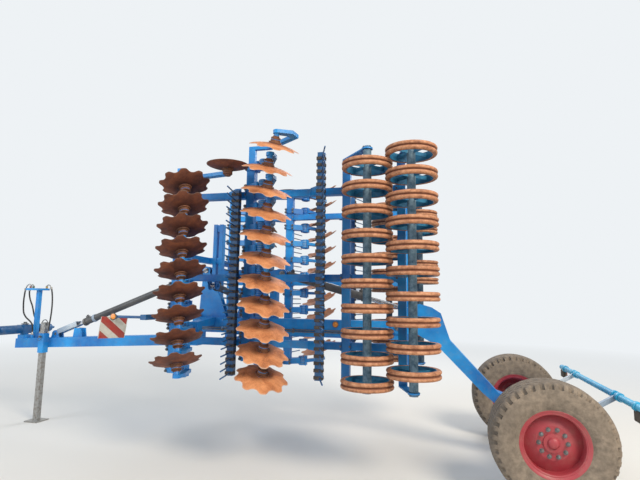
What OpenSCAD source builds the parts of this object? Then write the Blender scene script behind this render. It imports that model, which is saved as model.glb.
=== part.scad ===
// Trailed compact disc harrow, folded upright for road transport and parked on its stand.
// X runs rearwards, Y to the machine's right and Z up, all in millimetres.
// The ground is z = 0, and the origin is the bottom centre of the whole machine.
// A wing is drawn in its working position, with u outwards along Y, then turned up at its fold axis.

/* [Centre frame] */
// Height of the two fold axes above the ground
fold_z = 1350; // [1320:10:1400]
// Distance of each fold axis from the centre plane
fold_y = 500; // [490:5:530]
// Width of the main beam
beam_w = 180; // [160:10:200]
// Depth of the main beam
beam_h = 200; // [180:10:220]
// Depth of the main beam's underside below the fold axes
beam_drop = 5; // [0:5:15]
// Length of the main beam
beam_l = 2880; // [2830:10:2920]
// Width of the eyes that turn on the fold axes and other large pins
lug_w = 60; // [50:5:64]
// Thickness of the ears, cheeks and lug plates
ear_t = 20; // [16:1:22]
// Radius of the pins of the wings, the drawbar and the chassis
pin_r = 35; // [28:1:38]
// Radius of the cylinders' pins
small_pin_r = 25; // [20:1:28]
// Height of the strut's pin above the main beam
tower_h = 635; // [620:5:650]
// Height of the mast's columns above the main beam
mast_h = 1285; // [1200:5:1300]

/* [Drawbar] */
// Distance from the lower link pins to the drawbar's hinge
drawbar_l = 2830; // [2750:10:2900]
// Height of the drawbar's centre line at the lower link pins
drawbar_z = 1085; // [1070:5:1100]
// Height of the drawbar's hinge
hinge_z = 1230; // [1210:5:1235]
// Depth of the drawbar's box beam
drawbar_h = 140; // [120:10:150]
// Width of the drawbar's box beam
drawbar_w = 180; // [160:10:200]
// Distance between the shoulders of the two lower link pins
link_span = 965; // [900:5:1000]
// Diameter of a lower link pin
link_pin_d = 36.6; // [28:0.1:37]
// Free length of a lower link pin
link_pin_l = 75; // [60:5:90]
// Diameter of the hitch crossbar's tube
crossbar_d = 130; // [110:5:140]
// Height of the collar that the crossbar turns on
collar_h = 70; // [60:5:80]
// Height of the hose post's top above the ground
post_top = 1885; // [1840:5:1900]
// Height of the stand's foot plate
stand_foot_t = 15; // [10:1:20]
// Stroke by which the parking stand lifts
stand_stroke = 300; // [200:10:320]

/* [Wing frame] */
// Side of a wing's square cross tubes
tube_s = 100; // [90:5:110]
// Depth of the cross tubes' centre lines below the fold axis
tube_drop = 280; // [270:5:300]
// Distance from the front cross tube to the rear one
tube_gap = 950; // [940:10:960]
// Distance from the drawbar's hinge to the front cross tubes
front_tube_x = 230; // [228:2:250]
// Outer end of the cross tubes, measured from the fold axis
tube_end = 2080; // [2070:5:2100]
// Width of a side member that joins the cross tubes
side_w = 80; // [70:5:90]

/* [Discs] */
// Spacing of the discs in a row
pitch = 250; // [245:5:255]
// Radius of a notched disc
disc_r = 286; // [280:2:288]
// Depth of a disc's dish
dish = 56; // [50:2:60]
// Thickness of a disc
disc_t = 6; // [5:0.5:8]
// Number of notches in a disc's rim
notches = 9; // [8:1:10]
// Radius of a notch
notch_r = 75; // [66:1:78]
// Radius of the smooth edge disc
edge_r = 240; // [220:5:250]
// Angle between a disc and the line of travel
attack = 17; // [15:1:18]
// Lean of a disc from the vertical
lean = 16; // [14:1:17]
// Depth of the disc rims' centres below the fold axis
tool_drop = 720; // [700:5:730]
// Distance from the front cross tube rearwards to its discs
front_reach = 300; // [295:5:305]
// Distance from the rear cross tube rearwards to its discs
rear_reach = 360; // [350:5:370]
// Offset along the row from a disc to its arm
arm_off = 165; // [160:5:170]
// Thickness of a disc arm
arm_t = 40; // [35:1:45]
// Radius of a coil spring's centre line
coil_r = 46; // [40:1:48]
// Wire diameter of a coil spring
coil_wire = 26; // [22:1:27]
// Number of turns in a coil spring
coil_turns = 5; // [4:1:5]

/* [Levelling harrows] */
// Side of a harrow's square tube
harrow_s = 80; // [60:5:85]
// Depth of the harrow tubes' centre lines below the fold axis
harrow_drop = 500; // [480:5:520]
// Distance from the front discs to the front harrow
front_harrow_x = 560; // [550:5:570]
// Distance from the rear discs to the rear harrow
rear_harrow_x = 570; // [560:5:580]
// Length of a tine
tine_l = 400; // [380:5:410]
// Diameter of a tine
tine_d = 16; // [12:1:16]
// Spacing of the tines
tine_pitch = 75; // [70:5:90]

/* [Rollers] */
// Number of rings on a roller
rings = 10; // [8:1:10]
// Outer radius of a ring
ring_r = 270; // [255:5:272]
// Width of a ring
ring_w = 92; // [86:2:100]
// Radial depth of a ring
ring_depth = 52; // [40:2:60]
// Radius of a roller's central tube
shaft_r = 45; // [38:1:50]
// Radius of a roller's stub shaft
stub_r = 25; // [20:1:30]
// Depth of the rollers' axes below the fold axis
roller_drop = 660; // [650:5:670]
// Distance from the rear cross tube to the front roller's axis
roller_x = 1470; // [1460:5:1480]
// Distance between the two rollers' axes
roller_gap = 460; // [455:5:480]

/* [Chassis] */
// Radius of a tyre
tyre_r = 545; // [530:5:560]
// Width of a tyre
tyre_w = 440; // [400:10:460]
// Radius of a rim's bead seat
rim_r = 290; // [280:5:300]
// Distance between the two tyres' centre planes
track = 2100; // [2000:10:2160]
// Distance from the chassis pivot rearwards to the axle
axle_x = 1460; // [1440:10:1480]
// Distance from the chassis pivot to the main beam's rear end
pivot_inset = 80; // [75:5:90]
// Distance from the axle rearwards to the light bar
light_x = 690; // [660:10:720]
// Height of the light bar above the ground
light_z = 910; // [890:10:930]
// Length of the light bar
light_l = 2700; // [2600:10:2800]
// Radius of the light bar
light_r = 32; // [26:1:36]

/* [Hidden] */

// Radial clearance of a pin in its bore
run = 0.05;
// Face clearance between pieces that move on each other
slack = 6;
// Overlap that fuses one solid's parts
bite = 1;

// Stations along the machine, measured rearwards from the lower link pins
s_hinge = drawbar_l;
s_front_tube = s_hinge + front_tube_x;
s_rear_tube = s_front_tube + tube_gap;
s_front_disc = s_front_tube + front_reach;
s_rear_disc = s_rear_tube + rear_reach;
s_front_harrow = s_front_disc + front_harrow_x;
s_rear_harrow = s_rear_disc + rear_harrow_x;
s_roller_a = s_rear_tube + roller_x;
s_roller_b = s_roller_a + roller_gap;
head_x = drawbar_h / 2 + slack + 4;
s_beam = s_hinge + head_x;
s_beam_end = s_beam + beam_l;
s_pivot = s_beam_end - pivot_inset;
s_axle = s_pivot + axle_x;
s_light = s_axle + light_x;
// Half way between the crossbar's front and the light bar's back
mid_s = (s_light + light_r - crossbar_d / 2) / 2;
function st(s) = s - mid_s;

beam_z = fold_z - beam_drop;
beam_top = beam_z + beam_h;
pivot_z = beam_top - 60;
axle_z = tyre_r;

// Colours of the paint, the bare steel and the rubber
blue = "#0a62b8";
navy = "#0b3f7c";
rust = "#8a4b2c";
steel = "#6f6f70";
dark = "#3a3a3c";
tyre_black = "#4b4640";
red = "#8b1a2a";
white = "#d8d8d2";

// A profile drawn in X and Z, given a thickness across the machine
module plate_xz(t) {
    rotate([90, 0, 0]) linear_extrude(t, center = true) children();
}

// A bar of width w and thickness t from point a to point b of a profile
module bar_2d(a, b, w) {
    d = b - a;
    translate(a) rotate(atan2(d[1], d[0])) translate([0, -w / 2]) square([norm(d), w]);
}

// A round rod of radius r from point a to point b
module rod(a, b, r) {
    d = b - a;
    translate(a)
        rotate([0, acos(d[2] / norm(d)), atan2(d[1], d[0])])
            cylinder(r = r, h = norm(d), $fn = 32);
}

// A round pin along Y
module pin_y(r, w) {
    rotate([90, 0, 0]) cylinder(r = r, h = w, center = true, $fn = 48);
}

// The rows of discs: first disc's place, number of discs, and 1 where the hollow side faces outwards or -1
FIRST = 0;
COUNT = 1;
HOLLOW = 2;
front_row = [[-230, 9, 1], [-340, 9, -1]];
rear_row = [[-380, 11, -1], [-290, 11, 1]];
LEFT = 0;
RIGHT = 1;
side_sign = [-1, 1];

// The arm of disc i stands beside it, on the bulging side
function disc_u(row, i) = row[FIRST] + pitch * i;
function arm_u(row, i) = disc_u(row, i) - row[HOLLOW] * arm_off;

// The side members stand between the clamps of the disc arms
clamp_w = 80;
member_gap = 90;
members = [for (i = [1, 4, 8]) arm_u(front_row[LEFT], i) + member_gap];

// Turns what is drawn in a wing's working position up to its folded one
module wing(side) {
    mirror([0, side == LEFT ? 1 : 0, 0])
        translate([0, fold_y, fold_z]) rotate([90, 0, 0]) children();
}

// Stations of the two hinges of a wing, the fold cylinders and the lift cylinder's bracket
hinge_in = 130;
s_hinges = [s_front_tube + hinge_in, s_rear_tube - hinge_in];
s_fold = [s_front_tube + 440, s_rear_tube - 250];
s_mast = s_front_tube + 158;
s_post = s_front_tube + 1000;
mast_w = 90;
mast_x = 140;
column = 52;
post_w = 100;
top_beam_h = 100;
top_beam_z = beam_top + 545;

// Half the gap between the ears that hold a turning eye, and the eye's outer radius
ear_y = lug_w / 2 + slack;
eye_r = 60;
small_eye_r = 45;
carrier_w = 2 * (ear_y + ear_t);

// Ends of the fold cylinders: the bracket on the beam and the lug on the wing
fold_a = [150, beam_top + 275];
fold_lug_u = members[1] - 90;
fold_lug_v = -tube_drop + tube_s / 2 + 65;
// Ends of the lift cylinder, at rest
lift_s = s_post + post_w / 2 + 70;
lift_z = top_beam_z + 50;
lever = [190, 185];
// The drawbar rises rearwards: heights of its centre line and of its upper side
slope = (hinge_z - drawbar_z) / s_hinge;
function bar_z(s) = drawbar_z + slope * s;
function deck(s) = bar_z(s) + drawbar_h / 2;
// Ends of the strut
strut_s = 620;
strut_z = deck(strut_s) + 52;
tower_s = s_front_tube;
tower_z = beam_top + tower_h;

module main_beam() {
    color(blue) difference() {
        translate([st(s_beam), -beam_w / 2, beam_z]) cube([beam_l, beam_w, beam_h]);
        translate([st(s_pivot), 0, pivot_z]) pin_y(pin_r + run, beam_w + 2);
    }
}

// The head that carries the drawbar, and the four carriers of the fold axes
module hinge_carriers() {
    color(blue) {
        front_head();
        for (s = s_hinges, side = [0, 1])
            mirror([0, side, 0]) translate([st(s), 0, 0]) carrier();
    }
}

module front_head() {
    w = drawbar_w + 2 * (slack + ear_t);
    low = hinge_z - drawbar_h / 2;
    translate([st(s_beam), -w / 2, low]) cube([head_t, w, beam_z - low]);
    for (y = [-1, 1])
        translate([0, y * (drawbar_w / 2 + slack + ear_t / 2), 0])
            plate_xz(ear_t) difference() {
                union() {
                    translate([st(s_hinge), hinge_z]) circle(r = drawbar_h / 2, $fn = 64);
                    translate([st(s_hinge), low]) square([head_x + bite, beam_z - low]);
                }
                translate([st(s_hinge), hinge_z]) circle(r = pin_r + run, $fn = 64);
            }
}
head_t = 100;

module carrier() {
    low = fold_z + 90;
    tip = fold_y + eye_r;
    translate([-carrier_w / 2, 0, 0]) rotate([90, 0, 90]) linear_extrude(carrier_w)
        polygon([[beam_w / 2, beam_top], [beam_w / 2, low], [tip, low], [tip, low + 60]]);
    for (x = [-1, 1])
        translate([x * (ear_y + ear_t / 2) - ear_t / 2, 0, 0])
            rotate([90, 0, 90]) linear_extrude(ear_t) difference() {
                union() {
                    translate([fold_y, fold_z]) circle(r = eye_r, $fn = 64);
                    translate([fold_y - eye_r, fold_z]) square([2 * eye_r, low - fold_z + bite]);
                }
                translate([fold_y, fold_z]) circle(r = pin_r + run, $fn = 64);
            }
}

// A pin along Y with its heads seated on faces at y = half and -half
module headed_pin(r, half) {
    head = 12;
    pin_y(r, 2 * half + bite);
    for (y = [-1, 1])
        translate([0, y * (half + head / 2), 0]) pin_y(r + 10, head);
}

// The pins of the drawbar, the wings, the chassis and the cylinders' fixed ends
module hinge_pins() {
    ears = ear_y + ear_t;
    color(steel) {
        translate([st(s_hinge), 0, hinge_z]) headed_pin(pin_r, drawbar_w / 2 + slack + ear_t);
        translate([st(s_pivot), 0, pivot_z]) headed_pin(pin_r, cheek_out);
        for (s = s_hinges, y = [-1, 1])
            translate([st(s), y * fold_y, fold_z]) rotate(90) headed_pin(pin_r, ears);
        translate([st(tower_s), 0, tower_z]) headed_pin(small_pin_r, ears);
        translate([st(lift_s), 0, lift_z]) headed_pin(small_pin_r, ears);
        for (side = [LEFT, RIGHT])
            translate([st(s_fold[side]), -side_sign[side] * fold_a[0], fold_a[1]])
                rotate(90) headed_pin(small_pin_r, ears);
    }
}

// The A-shaped plates that hold the strut, the mast behind them and the bar that the folded wings rest on
module tower() {
    rest_z = fold_z + members[1] + 275;
    rest_y = fold_y + tube_drop - tube_s / 2 - 2 * slack;
    color(blue) {
        for (y = [-1, 1])
            translate([st(tower_s), y * (ear_y + ear_t / 2), beam_top]) plate_xz(ear_t) difference() {
                union() {
                    polygon([[-80, 0], [330, 0], [s_mast - tower_s + 60, 300], [56, tower_h - 22],
                             [-56, tower_h], [-34, tower_h - 80], [-46, tower_h - 120]]);
                    translate([0, tower_h]) circle(r = eye_r, $fn = 64);
                }
                translate([0, tower_h]) circle(r = small_pin_r + run, $fn = 64);
            }
        for (x = [0, mast_x - column])
            translate([st(s_mast) - mast_x / 2 + x, -mast_w / 2, beam_top]) cube([column, mast_w, mast_h]);
        for (z = [rest_z, beam_top + mast_h - 60])
            translate([st(s_mast) - mast_x / 2, -mast_w / 2 + 10, z - 40]) cube([mast_x, mast_w - 20, 80]);
        translate([st(tower_s), -mast_w / 2, rest_z - 40])
            cube([s_mast - tower_s - mast_x / 2 + bite, mast_w, 80]);
        translate([st(tower_s) - 40, -rest_y, rest_z - 40]) cube([80, 2 * rest_y, 80]);
    }
}

// The upper chord from the mast to the rear post
module top_beam() {
    color(blue) translate([st(s_mast) + mast_x / 2, -post_w / 2, top_beam_z])
        cube([s_post + post_w / 2 - s_mast - mast_x / 2, post_w, top_beam_h]);
}

// The post with the lift cylinder's ears, and the fold cylinders' ears on the main beam
module cylinder_brackets() {
    dx = lift_s - s_post;
    dz = lift_z - beam_top;
    color(blue) {
        translate([st(s_post) - post_w / 2, -post_w / 2, beam_top])
            cube([post_w, post_w, top_beam_z - beam_top]);
        for (y = [-1, 1])
            translate([st(s_post), y * (ear_y + ear_t / 2), beam_top]) plate_xz(ear_t) difference() {
                union() {
                    translate([dx, dz]) circle(r = eye_r, $fn = 64);
                    polygon([[post_w / 2 - bite, dz - 220], [dx + 30, dz - 52], [dx, dz + eye_r],
                             [post_w / 2 + bite, dz + eye_r],
                             [post_w / 2 + bite, top_beam_z - beam_top - bite],
                             [post_w / 2 - bite, top_beam_z - beam_top - bite]]);
                }
                translate([dx, dz]) circle(r = small_pin_r + run, $fn = 64);
            }
        for (side = [LEFT, RIGHT], x = [-1, 1])
            mirror([0, side, 0]) translate([st(s_fold[side]) + x * (ear_y + ear_t / 2) - ear_t / 2, 0, 0])
                rotate([90, 0, 90]) linear_extrude(ear_t) difference() {
                    union() {
                        translate(fold_a) circle(r = small_eye_r, $fn = 64);
                        polygon([[-60, beam_top], [beam_w / 2, beam_top],
                                 [fold_a[0] + small_eye_r, fold_a[1]], [fold_a[0] - 30, fold_a[1] - 35]]);
                    }
                    translate(fold_a) circle(r = small_pin_r + run, $fn = 64);
                }
    }
}

// The cross tube on the beam's front end that carries the warning boards
board_y = 1220;
board_rail = 60;
board_tube_s = s_beam + board_rail / 2;
board_z = beam_top + board_rail / 2;
module board_carrier() {
    color(navy) translate([st(board_tube_s) - board_rail / 2, -board_y - 30, board_z - board_rail / 2])
        cube([board_rail, 2 * board_y + 60, board_rail]);
}

// One bar and one striped board at each side, turned half outwards with its foot forwards
module warning_boards() {
    board = 290;
    board_t = 5;
    reach_s = board_tube_s - board_rail / 2;
    color(white) for (side = [0, 1]) mirror([0, side, 0])
        translate([st(reach_s), -board_y, board_z]) {
            translate([-385, -15, -15]) cube([385, 30, 30]);
            translate([-370, 0, 0]) rotate([0, 0, -42]) rotate([0, 28, 0])
                translate([-board_t / 2, -board / 2, -board]) cube([board_t, board, board]);
        }
}

// The drawbar's beam, with its rear eye, kingpin, rod lugs, rod cradle, stand sleeve and hose glands
stand_s = 500;
leg_s = 70;
sleeve_t = 12;
stand_y = drawbar_w / 2 + sleeve_t + leg_s / 2;
seat = 0.3;
module drawbar() {
    nose = 60;
    half = drawbar_h / 2;
    color(blue) {
        plate_xz(drawbar_w) difference() {
            union() {
                polygon([[st(-nose), bar_z(-nose) - half], [st(s_hinge), hinge_z - half],
                         [st(s_hinge), hinge_z + half], [st(-nose), bar_z(-nose) + half]]);
                translate([st(s_hinge), hinge_z]) circle(r = half - bite, $fn = 64);
            }
            translate([st(s_hinge), hinge_z]) circle(r = pin_r + run, $fn = 64);
        }
        translate([st(0), 0, bar_z(0)]) {
            cylinder(r = pin_r, h = bar_top + crossbar_d + 20 - bar_z(0), $fn = 48);
            cylinder(r = pin_r + 20, h = bar_top - bar_z(0), $fn = 48);
        }
        translate([st(-nose), -60, bar_z(-nose)]) cube([2 * nose, 120, bar_top - slack - 10 - bar_z(-nose)]);
        for (y = [-1, 1]) translate([0, y * (ear_y + ear_t / 2), 0]) plate_xz(ear_t) {
            difference() {
                union() {
                    translate([st(strut_s), strut_z]) circle(r = small_eye_r + 10, $fn = 64);
                    polygon([[st(strut_s) - 90, bar_z(strut_s)], [st(strut_s) + 90, bar_z(strut_s)],
                             [st(strut_s) + 52, strut_z], [st(strut_s) - 52, strut_z]]);
                }
                translate([st(strut_s), strut_z]) circle(r = small_pin_r + run, $fn = 64);
            }
            polygon([[st(cradle_s) - 80, bar_z(cradle_s)], [st(cradle_s) + 90, bar_z(cradle_s)],
                     [st(cradle_s) + 55, cradle_top], [st(cradle_s) - 55, cradle_top]]);
        }
        translate([st(stand_s), -stand_y, bar_z(stand_s)]) difference() {
            cube([leg_s + 2 * sleeve_t, leg_s + 2 * sleeve_t + bite, 2 * drawbar_h], center = true);
            cube([leg_s + 2 * seat, leg_s + 2 * seat, 3 * drawbar_h], center = true);
        }
        for (h = hoses) translate([st(h[0][0]), h[0][1], bar_z(h[0][0])])
            cylinder(r = gland_r, h = h[0][2] - bar_z(h[0][0]), $fn = 32);
    }
}
bar_top = deck(0) + collar_h;
cradle_s = 1010;
cradle_top = 1335;
gland_r = 20;

// The crossbar that turns on the kingpin and carries the lower link pins
module hitch_crossbar() {
    z = bar_top + seat + crossbar_d / 2;
    flange = 20;
    color(navy) translate([st(0), 0, z]) difference() {
        union() {
            pin_y(crossbar_d / 2, link_span - 2 * flange + bite);
            cube([crossbar_d, 170, crossbar_d], center = true);
            for (y = [-1, 1]) {
                translate([0, y * (link_span / 2 - flange / 2), 0]) pin_y(crossbar_d / 2 - 10, flange);
                translate([0, y * (link_span / 2 + link_pin_l / 2 - bite / 2), 0])
                    pin_y(link_pin_d / 2, link_pin_l + bite);
            }
        }
        cylinder(r = pin_r + run, h = crossbar_d + 2, center = true, $fn = 48);
    }
}

// The post that holds up the hoses, with the rail that their ends hang in
post_s = 213;
post_w2 = 56;
rail_t = 30;
module hose_post() {
    color(blue) translate([st(post_s), 0, 0]) {
        half = post_w2 / 2;
        plate_xz(post_w2)
            polygon([[-half, deck(post_s - half)], [half, deck(post_s + half)],
                     [half, post_top], [-half, post_top]]);
        translate([-150, -110, post_top]) cube([230, 220, rail_t]);
    }
}

// Routes of the three hoses: station, Y and height, from a gland up over the rail
hose_r = 11;
hose_z = 1215;
hose_end = post_top + rail_t + seat;
hoses = [
    [[214, -66, hose_z], [214, -66, 1245], [214, -66, 1285], [208, -72, 1360], [165, -84, 1420],
     [105, -94, 1470], [56, -99, 1540], [38, -100, 1640], [32, -98, 1740], [32, -92, 1830], [40, -86, 1915],
     [66, -81, 1962], [98, -77, 1975], [114, -75, 1955], [116, -75, 1935], [116, -75, hose_end]],
    [[214, 66, hose_z], [214, 66, 1245], [214, 66, 1285], [208, 58, 1360], [172, 40, 1420],
     [142, 20, 1480], [130, 2, 1560], [106, -6, 1650], [64, -12, 1740], [40, -14, 1830], [42, -16, 1910],
     [64, -18, 1958], [96, -20, 1970], [112, -20, 1952], [114, -20, 1934], [114, -20, hose_end]],
    [[400, 40, hose_z + 10], [400, 40, 1255], [400, 40, 1290], [404, 46, 1370], [408, 54, 1460],
     [406, 64, 1560], [398, 74, 1660], [386, 80, 1760], [368, 82, 1860], [342, 82, 1935], [308, 82, 1968],
     [280, 82, 1968], [264, 82, 1952], [262, 82, 1935], [262, 82, hose_end]]
];

// A tube swept along a list of points
function unit(v) = v / norm(v);
function tangent(p, i) = unit(p[min(i + 1, len(p) - 1)] - p[max(i - 1, 0)]);
function ring(p, i, r, n) =
    let (t = tangent(p, i), a = unit(cross(t, [0.13, 1, 0.07])), b = cross(a, t))
    [for (k = [0:n - 1]) p[i] + r * (cos(360 * k / n) * a + sin(360 * k / n) * b)];
function spline(p, n) = concat(
    [for (i = [0:len(p) - 2], k = [0:n - 1])
        let (a = p[max(i - 1, 0)], b = p[i], c = p[i + 1], d = p[min(i + 2, len(p) - 1)], t = k / n)
        0.5 * (2 * b + (c - a) * t + (2 * a - 5 * b + 4 * c - d) * t * t
               + (3 * b - a - 3 * c + d) * t * t * t)],
    [p[len(p) - 1]]);
module sweep(p, r, n) {
    points = [for (i = [0:len(p) - 1]) each ring(p, i, r, n)];
    last = (len(p) - 1) * n;
    polyhedron(points, concat(
        [[for (k = [0:n - 1]) k]],
        [[for (k = [n - 1:-1:0]) last + k]],
        [for (i = [0:len(p) - 2], k = [0:n - 1])
            let (j = (k + 1) % n) [i * n + k, (i + 1) * n + k, (i + 1) * n + j, i * n + j]]));
}
module hose(i) {
    color(dark) sweep([for (q = spline(hoses[i], 2)) [st(q[0]), q[1], q[2]]], hose_r, 8);
}

// The leg that slides in its sleeve, on a foot plate
module parking_stand() {
    foot = 220;
    color(steel) translate([st(stand_s), -stand_y, 0]) {
        translate([-foot / 2, -foot / 2, 0]) cube([foot, foot, stand_foot_t]);
        translate([-leg_s / 2, -leg_s / 2, stand_foot_t - bite])
            cube([leg_s, leg_s, deck(stand_s) + 230 - stand_foot_t]);
    }
}

// Puts what lies along +X on the line from a to b, with its eyes' axes level
module along(a, b) {
    d = b - a;
    translate(a) rotate([0, -atan2(d[2], norm([d[0], d[1]])), atan2(d[1], d[0])]) children();
}

// A cylinder barrel from its eye at the origin to its gland, with the rod's bore
module barrel(l, r, rod_r, colour) {
    neck = small_eye_r + 25;
    color(colour) difference() {
        union() {
            pin_y(small_eye_r, lug_w);
            translate([0, -lug_w / 2, -small_eye_r * 0.7]) cube([neck + bite, lug_w, small_eye_r * 1.4]);
            translate([neck, 0, 0]) rotate([0, 90, 0]) cylinder(r = r, h = l - neck, $fn = 64);
            translate([l - 40, 0, 0]) rotate([0, 90, 0]) cylinder(r = r + 6, h = 40, $fn = 64);
        }
        pin_y(small_pin_r + run, lug_w + 2);
        translate([neck + 30, 0, 0]) rotate([0, 90, 0]) cylinder(r = rod_r + run, h = l, $fn = 64);
    }
}

// A rod from its inner end to its open eye at x = l
module piston_rod(inner, l, rod_r) {
    color(steel) difference() {
        union() {
            translate([inner, 0, 0]) rotate([0, 90, 0]) cylinder(r = rod_r, h = l - inner - 20, $fn = 64);
            translate([l, 0, 0]) pin_y(small_eye_r - 5, lug_w);
        }
        translate([l, 0, 0]) pin_y(small_pin_r + run, lug_w + 2);
    }
}

// The strut that holds the drawbar from the tower
strut_a = [st(tower_s), 0, tower_z];
strut_b = [st(strut_s), 0, strut_z];
strut_l = norm(strut_b - strut_a);
strut_barrel_l = 2115;
strut_rod_r = 24;
module strut_barrel() {
    along(strut_a, strut_b) barrel(strut_barrel_l, 48, strut_rod_r, dark);
}
module strut_rod() {
    along(strut_a, strut_b) piston_rod(strut_barrel_l - 500, strut_l, strut_rod_r);
}

// The two fold cylinders, each from the main beam's far side to its wing's lug
function fold_from(side) = [st(s_fold[side]), -side_sign[side] * fold_a[0], fold_a[1]];
function fold_to(side) =
    [st(s_fold[side]), side_sign[side] * (fold_y - fold_lug_v), fold_z + fold_lug_u];
fold_l = norm(fold_to(LEFT) - fold_from(LEFT));
fold_rod_r = 25;
fold_barrel_l = fold_l - small_eye_r - 15;
module fold_barrel(side) {
    along(fold_from(side), fold_to(side)) barrel(fold_barrel_l, 44, fold_rod_r, dark);
}
module fold_rod(side) {
    along(fold_from(side), fold_to(side)) piston_rod(small_eye_r + 65, fold_l, fold_rod_r);
}

// The lift cylinder of the chassis
lift_a = [st(lift_s), 0, lift_z];
lift_b = [st(s_pivot) + lever[0], 0, pivot_z + lever[1]];
lift_l = norm(lift_b - lift_a);
lift_barrel_l = 1150;
lift_rod_r = 28;
module chassis_barrel() {
    along(lift_a, lift_b) barrel(lift_barrel_l, 52, lift_rod_r, dark);
}
module chassis_rod() {
    along(lift_a, lift_b) piston_rod(lift_barrel_l - 450, lift_l, lift_rod_r);
}

// Inner ends of the cross tubes, just past the innermost arm's clamp
end_gap = 10;
wing_x = [st(s_front_tube), st(s_rear_tube)];
function wing_row(side, k) = k == 0 ? front_row[side] : rear_row[side];
function tube_in(side, k) = min(members[0], arm_u(wing_row(side, k), 0)) - clamp_w / 2 - end_gap;
function last_clamp_u(side, k) = k == 0 ? edge_arm_u(side) : arm_u(rear_row[side], plain_arms(side, 1) - 1);
function tube_out(side, k) = max(tube_end, last_clamp_u(side, k) + clamp_w / 2 + end_gap);

// The front and the rear square tube of a wing
module cross_tubes(side) {
    color(blue) wing(side) for (k = [0, 1])
        translate([wing_x[k] - tube_s / 2, tube_in(side, k), -tube_drop - tube_s / 2])
            cube([tube_s, tube_out(side, k) - tube_in(side, k), tube_s]);
}

// The three members between the cross tubes, with the hinge eyes and the fold cylinder's lug
module side_members(side) {
    top = -tube_drop + tube_s / 2;
    color(blue) wing(side) {
        for (u = members) {
            translate([wing_x[0] + tube_s / 2, u - side_w / 2, -tube_drop - tube_s / 2])
                cube([tube_gap - tube_s, side_w, tube_s]);
            harrow_bracket(st(s_front_harrow), u);
        }
        for (s = s_hinges) translate([st(s) - lug_w / 2, 0, 0])
            rotate([90, 0, 90]) linear_extrude(lug_w) difference() {
                union() {
                    circle(r = eye_r, $fn = 64);
                    polygon([[members[0] - side_w / 2, top - bite], [members[0] + side_w / 2, top - bite],
                             [eye_r * 0.97, -15], [-eye_r, 0]]);
                }
                circle(r = pin_r + run, $fn = 64);
            }
        for (x = [-1, 1]) translate([st(s_fold[side]) + x * (ear_y + ear_t / 2) - ear_t / 2, 0, 0])
            rotate([90, 0, 90]) linear_extrude(ear_t) difference() {
                union() {
                    translate([fold_lug_u, fold_lug_v]) circle(r = small_eye_r + 5, $fn = 64);
                    polygon([[members[1] - side_w / 2, top - bite], [members[1] + side_w / 2, top - bite],
                             [fold_lug_u + 32, fold_lug_v + 38], [fold_lug_u - 44, fold_lug_v - 20]]);
                }
                translate([fold_lug_u, fold_lug_v]) circle(r = small_pin_r + run, $fn = 64);
            }
    }
}

// Turns the Z axis of a disc to its hollow side's direction
module disc_axis(hollow, a, tilt) {
    rotate([0, 0, hollow * a]) rotate([-hollow * (90 - tilt), 0, 0]) children();
}

// A dished disc: rim plane at z = 0, hollow side towards +Z, flat round its middle
flat_r = 75;
function ball_r(r, depth) = (r * r + depth * depth) / (2 * depth);
function flat_z(r, depth) = ball_r(r, depth) - depth - sqrt(pow(ball_r(r, depth), 2) - flat_r * flat_r);
module disc(r, depth, n) {
    ball = ball_r(r, depth);
    floor_z = flat_z(r, depth);
    color(rust) difference() {
        union() {
            intersection() {
                translate([0, 0, ball - depth]) difference() {
                    sphere(r = ball, $fn = 160);
                    sphere(r = ball - disc_t, $fn = 160);
                }
                translate([0, 0, floor_z]) cylinder(r = r, h = depth + 20, $fn = 96);
            }
            translate([0, 0, floor_z]) cylinder(r = flat_r, h = disc_t, $fn = 64);
        }
        if (n > 0) for (i = [0:n - 1]) rotate(360 * i / n)
            translate([r + notch_r * 0.45, 0, -depth]) cylinder(r = notch_r, h = 2 * depth, $fn = 48);
    }
}

// Where an arm meets the hub's stub, behind a disc's rim centre
stub_l = arm_off / (cos(attack) * cos(lean));
row_reach = [front_reach, rear_reach];
function hub_x(k) = row_reach[k] + stub_l * sin(attack) * cos(lean);
hub_z = -(tool_drop - tube_drop) - stub_l * sin(lean);
coil_x = 196;
coil_z = -118;
coil_l = coil_turns * coil_wire;

// The hub behind a disc, with its bolted flange
module hub() {
    z = flat_z(disc_r, dish);
    mirror([0, 0, 1]) translate([0, 0, -z]) {
        cylinder(r = flat_r - 5, h = 14, $fn = 64);
        cylinder(r = 52, h = 62, $fn = 64);
        cylinder(r = 30, h = stub_l + z + 12, $fn = 48);
    }
}

// A close-wound coil along Y
module coil_spring() {
    crest = coil_r + coil_wire / 2;
    root = coil_r + coil_wire / 5;
    step = coil_wire / 2;
    outside = [for (i = [0:2 * coil_turns]) [i % 2 == 0 ? root : crest, i * step - coil_l / 2]];
    rotate([90, 0, 0]) rotate_extrude($fn = 36)
        polygon(concat(outside, [[coil_r - coil_wire / 2, coil_l / 2],
                                 [coil_r - coil_wire / 2, -coil_l / 2]]));
}

// The clamp on a cross tube, with the bracket that the coil spring lies against
module arm_clamp() {
    half = tube_s / 2;
    shell = half + 14;
    plate_xz(clamp_w) difference() {
        union() {
            translate([-shell, -shell]) square(2 * shell);
            polygon([[0, -shell + bite], [shell - bite, 40], [coil_x - 14, coil_z + 66],
                     [coil_x - 40, coil_z + 10], [coil_x - 50, coil_z - 44], [coil_x - 70, coil_z - 50]]);
        }
        square(tube_s, center = true);
        translate([coil_x, coil_z]) circle(r = coil_r + coil_wire / 2 + seat, $fn = 64);
    }
}

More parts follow.
